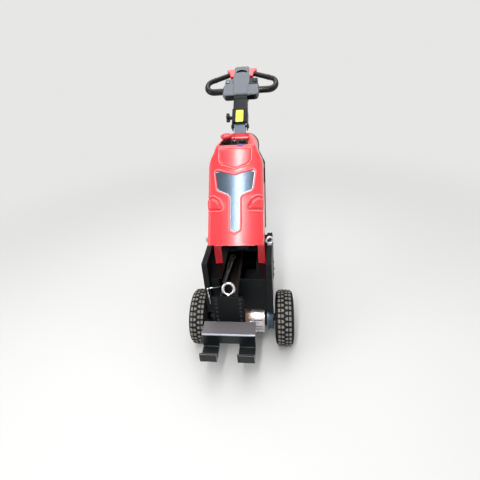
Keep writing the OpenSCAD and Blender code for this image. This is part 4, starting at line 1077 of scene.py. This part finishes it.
gear_axle = Matrix.Translation((0, 0, TYRE_R))
make_drums(gear_axle)
make_brake(gear_axle)
make_gear_details(gear_axle)


# Head: spine and wings in one moulding, and the display on its nose
HEAD_SIDE = rounded([(-36, 10, 6), (-36, 222, 24), (-22, 247, 9), (10, 247, 14),
                     (20, 227, 0), (26, 120, 60), (26, 10, 6)])
SPINE_Z, SPINE_HALF = (0, 40, 76, 112, 150, 190, 225, 240, 248), (37.5, 38.5, 42, 46.5, 46, 43, 40, 34, 25)
SPINE_R, WING_R, WING_EDGE_R, HOLLOW_R = 8, 12, 8, 4
WING_X, WING_LOW, WING_HIGH, WING_FRONT, WING_BACK = 95, 8, 86, -33, -5
OUTER_Z, OUTER_R, OUTER_X, INNER_Z, INNER_R = 160, 37, 30, 123, 60
DISPLAY_PROUD, DISPLAY_BACK, DISPLAY_EDGE_R = 2, -4, 0.6
HEAD_CELL, DISPLAY_CELL = 1.7, 1.2


def head_field(x, v, z):
    ax = np.abs(x)
    spine = rmax(outline_field(HEAD_SIDE, v, z), ax - np.interp(z, SPINE_Z, SPINE_HALF), SPINE_R)
    face = rmax(ax - WING_X, np.maximum(WING_LOW - z, z - WING_HIGH), WING_R)
    wings = rmax(face, np.maximum(WING_FRONT - v, v - WING_BACK), WING_EDGE_R)
    return rmin(spine, wings, HOLLOW_R)


def display_field(x, v, z):
    """Crescent across the nose, a little proud of it."""
    outer = rmax(np.hypot(x, z - OUTER_Z) - OUTER_R, np.abs(x) - OUTER_X, 4)
    inner = INNER_R - np.hypot(x, z - INNER_Z)
    proud = rmax(head_field(x, v, z) - DISPLAY_PROUD, np.maximum(outer, inner), DISPLAY_EDGE_R)
    return rmax(proud, v - DISPLAY_BACK, DISPLAY_EDGE_R)


def make_head():
    moulded("head_moulding", head_field, (-98, -40, -4), (98, 30, 252), HEAD_CELL, "grey_plastic", "tiller",
            HEAD, replaces=("head_housing",))
    moulded("display", display_field, (-34, -44, 154), (34, 4, 214), DISPLAY_CELL, "display_dark", "tiller",
            HEAD, replaces=("indicator",))


make_head()


# Handles: loops that start in the wings, turn back to the spine and thin from palm to grip
GRIP_R, PALM_R, GRIP_X, HANDLE_X0 = 13, 17, 196, (92, 110)
LOOP_LOW, LOOP_BEND, LOOP_RISE, LOOP_TURN, LOOP_V, LOOP_STEPS = 52, 41, 10, 155, -18, 26
RISE_FADE, PALM_FADE, GRIP_RUN = (60, 120), (3, 24), (40, 80, 128)
RING_RUN, RING_RADII = (14, 15, 22, 23), [GRIP_R - 0.5, GRIP_R + 1, GRIP_R + 1, GRIP_R - 0.5]


def loop_path(s):
    """Path of one handle, and the place and direction in which its straight grip starts."""
    x = GRIP_X - GRIP_R - LOOP_BEND
    path = [(s * along, LOOP_V, LOOP_LOW) for along in (*HANDLE_X0, x)]
    for k in range(1, LOOP_STEPS + 1):
        a = radians(LOOP_TURN * k / LOOP_STEPS)
        up = LOOP_RISE * float(step_up(*RISE_FADE, np.array(degrees(a))))
        high = LOOP_LOW + LOOP_BEND * (1 - cos(a)) + up
        path.append((s * (x + LOOP_BEND * sin(a)), LOOP_V, high))
    end = Vector(path[-1])
    run = Vector((-s * cos(radians(180 - LOOP_TURN)), 0, sin(radians(LOOP_TURN))))
    return path + [tuple(end + run * t) for t in GRIP_RUN], end, run


def make_handle(side, s):
    path, end, run = loop_path(s)
    thinned = step_up(*PALM_FADE, np.arange(float(len(path))))
    radii = [PALM_R + (GRIP_R - PALM_R) * float(t) for t in thinned]
    head_piece(f"handle_{side}", [tube(path, radii, 24)], "handle_black",
               replaces=("handles",) if s < 0 else ())
    ring = [tuple(end + run * t) for t in RING_RUN]
    head_piece(f"handle_ring_{side}", [tube(ring, RING_RADII, 24)], "handle_black", angle=60)


for handle_side, handle_sign in SIDES:
    make_handle(handle_side, handle_sign)


# Shell, neck, paddles and button pads of the head
SHELL_FRONT, SHELL_BACK, PADDLE_FRONT, WALL_BACK = -28, 5, -34, -5
SHELL_SIDE = [(91, 5, 20), (91, 86, 4)]
PADDLE = rounded([(34, 153, 0), (50, 150, 4), (62, 151, 6), (65, 180, 26), (80, 199, 5), (80, 212, 5),
                  (34, 214, 0)])
PAD_SIDE = ((30, 86, 0), (90, 86, 4), (86, 138, 6), (30, 138, 0))
BUTTON_X, BUTTON_Z, BUTTON_CLEAR = 72, 112, 12
STUD_X, STUD_Z, STUD_FRONT = range(56, 81, 8), range(94, 131, 9), -28.4


def make_shell():
    shell = prism(rounded(both_sides(SHELL_SIDE)), SHELL_FRONT, SHELL_BACK)
    head_piece("head_shell", [shell], "handle_black", edge=4, replaces=("head_base",), slot="black_plastic")
    neck = box((-33.5, SHELL_FRONT, -14), (33.5, 24, 20))
    head_piece("head_neck", [neck], "black_steel", edge=1)


def make_paddles():
    mirrored = [(-x, z) for x, z in reversed(PADDLE)]
    paddles = [prism(outline, PADDLE_FRONT, WALL_BACK) for outline in (mirrored, PADDLE)]
    head_piece("thumb_paddles", paddles, "red_plastic", edge=4, replaces=("paddles",))


def make_pads():
    """A pad on each wing, and rows of studs round the right one's button."""
    for (side, s), look in zip(SIDES, ("grey_plastic", "black_plastic")):
        pad = prism(rounded([(s * x, z, r) for x, z, r in PAD_SIDE]), SHELL_FRONT, WALL_BACK)
        head_piece(f"pad_{side}", [pad], look, edge=2, slot="black_plastic",
                   replaces=("head_pads",) if s < 0 else ())
    spots = [(x, STUD_FRONT, z) for x in STUD_X for z in STUD_Z
             if hypot(x - BUTTON_X, z - BUTTON_Z) > BUTTON_CLEAR]
    studs = [lathe([(0, 1.9), (0.5, 1.7), (0.8, 0)], 12, spot, "Y") for spot in spots]
    head_piece("pad_studs", studs, "black_plastic")


def make_buttons():
    for (side, s), look in zip(SIDES, ("button_pale", "black_plastic")):
        spot = (s * BUTTON_X, SHELL_FRONT, BUTTON_Z)
        ring = lathe([(0, 11), (-1.6, 10.6), (-2.2, 9.6), (-1.2, 8.8), (-1.2, 0)], 40, spot, "Y")
        cap = lathe([(-1.2, 8.2), (-3.4, 7.6), (-4.0, 5), (-4.2, 0)], 40, spot, "Y")
        head_piece(f"button_ring_{side}", [ring], "black_plastic")
        head_piece(f"button_cap_{side}", [cap], look, slot="button_grey",
                   replaces=("head_buttons",) if s < 0 else ())


def make_sleeve_details():
    """The knob's stud, a black plate of painted shade in the collar, and the bare label, in the sleeve's
    frame.
    """
    stud = lathe([(-66, 0), (-66, 4), (-38, 4)], 24, (0, 0, 55))
    build("knob_stud", [stud], "bright_steel", "tiller", TILLER, edge=0)
    # A black plate across the collar: painted shade where the backdrop would show through
    shade = box((-34, -24, 22), (34, 8, 25))
    build("collar_shade", [shade], "black_plastic", "tiller", TILLER, edge=0.5)
    label = prism(rounded([(-20, 6, 3), (18, 6, 3), (18, 78, 3), (-20, 78, 3)]), -30.5, -30)
    build("sleeve_label", [label], "yellow_label", "tiller", TILLER, edge=0, slot="black_steel")


make_shell()
make_paddles()
make_pads()
make_buttons()
make_sleeve_details()


# Casters: cambered tread on a hub, bearing covers and axle nuts
CASTER_X, CASTER_Y, CASTER_R, NUT_X = 108, 366, 50, 23
CASTER_TREAD = [(-16, 30), (-16, 44), (-14.5, 48), (-11, 49.8), (0, CASTER_R), (11, 49.8), (14.5, 48),
                (16, 44), (16, 30)]
CASTER_HUB = [(-15, 31), (-15.4, 34), (-13, 34), (-9, 30), (-8, 18), (-12, 15), (-18, 13), (-18, 6.1)]


def make_caster(side, s):
    centre = Matrix.Translation((s * CASTER_X, CASTER_Y, CASTER_R))
    wheel, fork = f"caster_wheel_{side}", f"caster_fork_{side}"
    tread = moved(lathe(CASTER_TREAD, 96), centre)
    build(f"caster_tread_{side}", [tread], "orange_tread", wheel, edge=0, angle=40, replaces=(wheel,))
    hubs = at(centre, both_faces(CASTER_HUB, 64))
    build(f"caster_hub_{side}", hubs, "black_plastic", wheel, edge=0.4, slot="orange_tread")
    nuts = hex_bolt((-NUT_X, 0, 0), 7, 5, TO_LEFT) + hex_bolt((NUT_X, 0, 0), 7, 5, TO_RIGHT)
    build(f"caster_nuts_{side}", at(centre, nuts), "bright_steel", fork, edge=0.3, slot="black_steel")


for caster_side, caster_sign in SIDES:
    make_caster(caster_side, caster_sign)


# Small fittings on the frame
PANEL_Y, RIVETS = -42, ((98, 372), (98, 282), (20, 388), (-112, 380), (-112, 250))
HOLES_X, HOLES_HALF, HOLES_TOP, HOLE_ROWS, HOLE_STEP = -42, 53, 351, 6, 24
HOLE_RIM = [(-119.8, 5.6), (-120.5, 5.4), (-120.5, 4.7), (-119.8, 4.5)]
PLATE_X, SIDE_BOLTS = 152, ((242, 289), (300, 160), (350, 160))
# Black sheets of painted shade under the deck: half width, low and high faces, and back
SHADE_X, SHADE_LOW, SHADE_HIGH, SHADE_BACK = 147, 215, 219, 238
BEND_Y, BEND_Z, BEND_OUTER, BEND_INNER = -190, 214, 6.4, 5.5


def make_trim():
    """Rivets of the front panel, pale rims of painted highlight round the hitch plate's holes, bolts of the
    side plates.
    """
    rivets = [lathe([(0, 4), (-1.2, 3.6), (-2.2, 2), (-2.5, 0)], 20, (x, PANEL_Y, z), "Y") for x, z in RIVETS]
    build("panel_rivets", rivets, "black_steel", edge=0)
    # Pale grey rims round the hitch plate's holes: painted highlight for the light marks at them
    rims = [lathe(HOLE_RIM, 28, (HOLES_X + s * HOLES_HALF, 0, HOLES_TOP - HOLE_STEP * k), "Y")
            for k in range(HOLE_ROWS) for s in (-1, 1)]
    build("hole_rims", rims, "grey_plastic", edge=0, slot="black_steel")
    bolts = []
    for s, turn in ((-1, TO_LEFT), (1, TO_RIGHT)):
        for y, z in SIDE_BOLTS:
            bolts += hex_bolt((s * PLATE_X, y, z), 6, 3.5, turn)
    build("side_bolts", bolts, "black_steel", edge=0.4)


def make_under_shade():
    """Black sheets below the deck, and the slope from them down to the back: painted shade that closes the
    view through to the lit floor.
    """
    sheets = [box((-SHADE_X, 40, SHADE_LOW), (-6, SHADE_BACK, SHADE_HIGH)),
              box((86, 64, SHADE_LOW), (SHADE_X, SHADE_BACK, SHADE_HIGH)),
              box((-6, 214, SHADE_LOW), (86, SHADE_BACK, SHADE_HIGH)),
              prism([(SHADE_BACK, SHADE_LOW), (304, 144), (304, 148), (SHADE_BACK, SHADE_HIGH)], -SHADE_X, SHADE_X,
                    side_on=True)]
    build("under_shade", sheets, "black_steel", edge=0.6)


def make_bend_edge():
    """A pale metal strip along the bend of the hook bracket: a painted highlight where the bend catches the
    light.
    """
    arc = [radians(a) for a in range(95, 180, 8)]
    strip = [(BEND_Y + r * cos(a), BEND_Z + r * sin(a))
             for r, turn in ((BEND_OUTER, arc), (BEND_INNER, arc[::-1])) for a in turn]
    build("bend_edge", [prism(strip, -159, 75, side_on=True)], "bend_highlight", edge=0, slot="black_steel")


make_trim()
make_under_shade()
make_bend_edge()


# The CAD's nodes, and the looks of those that differ from their slot's
NODE_EDGE, FLAT_ANGLE = 0.7, radians(0.3)
OWN_LOOKS = {"stub_axles": "axle_steel", "pivot_bolt": "axle_steel", "hitch_lever": "strap_steel",
             "hook_bracket": "hook_steel", "tiller_post": "post_steel"}


def dress_frame():
    looks = {row["node"]: row["material_slot"] for row in frame["record"]["subparts"]}
    looks |= OWN_LOOKS
    for name, node in frame["nodes"].items():
        mesh, paint = node.data, LOOKS[looks[name]]
        for i in range(len(mesh.materials)):
            mesh.materials[i] = paint
        if not len(mesh.materials):
            mesh.materials.append(paint)
        node.modifiers.new("weld", "WELD").merge_threshold = NODE_MERGE_REACH
        flat = node.modifiers.new("flat", "DECIMATE")
        flat.decimate_type = "DISSOLVE"
        flat.angle_limit = FLAT_ANGLE
        soften(node, NODE_EDGE)


dress_frame()

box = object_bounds()
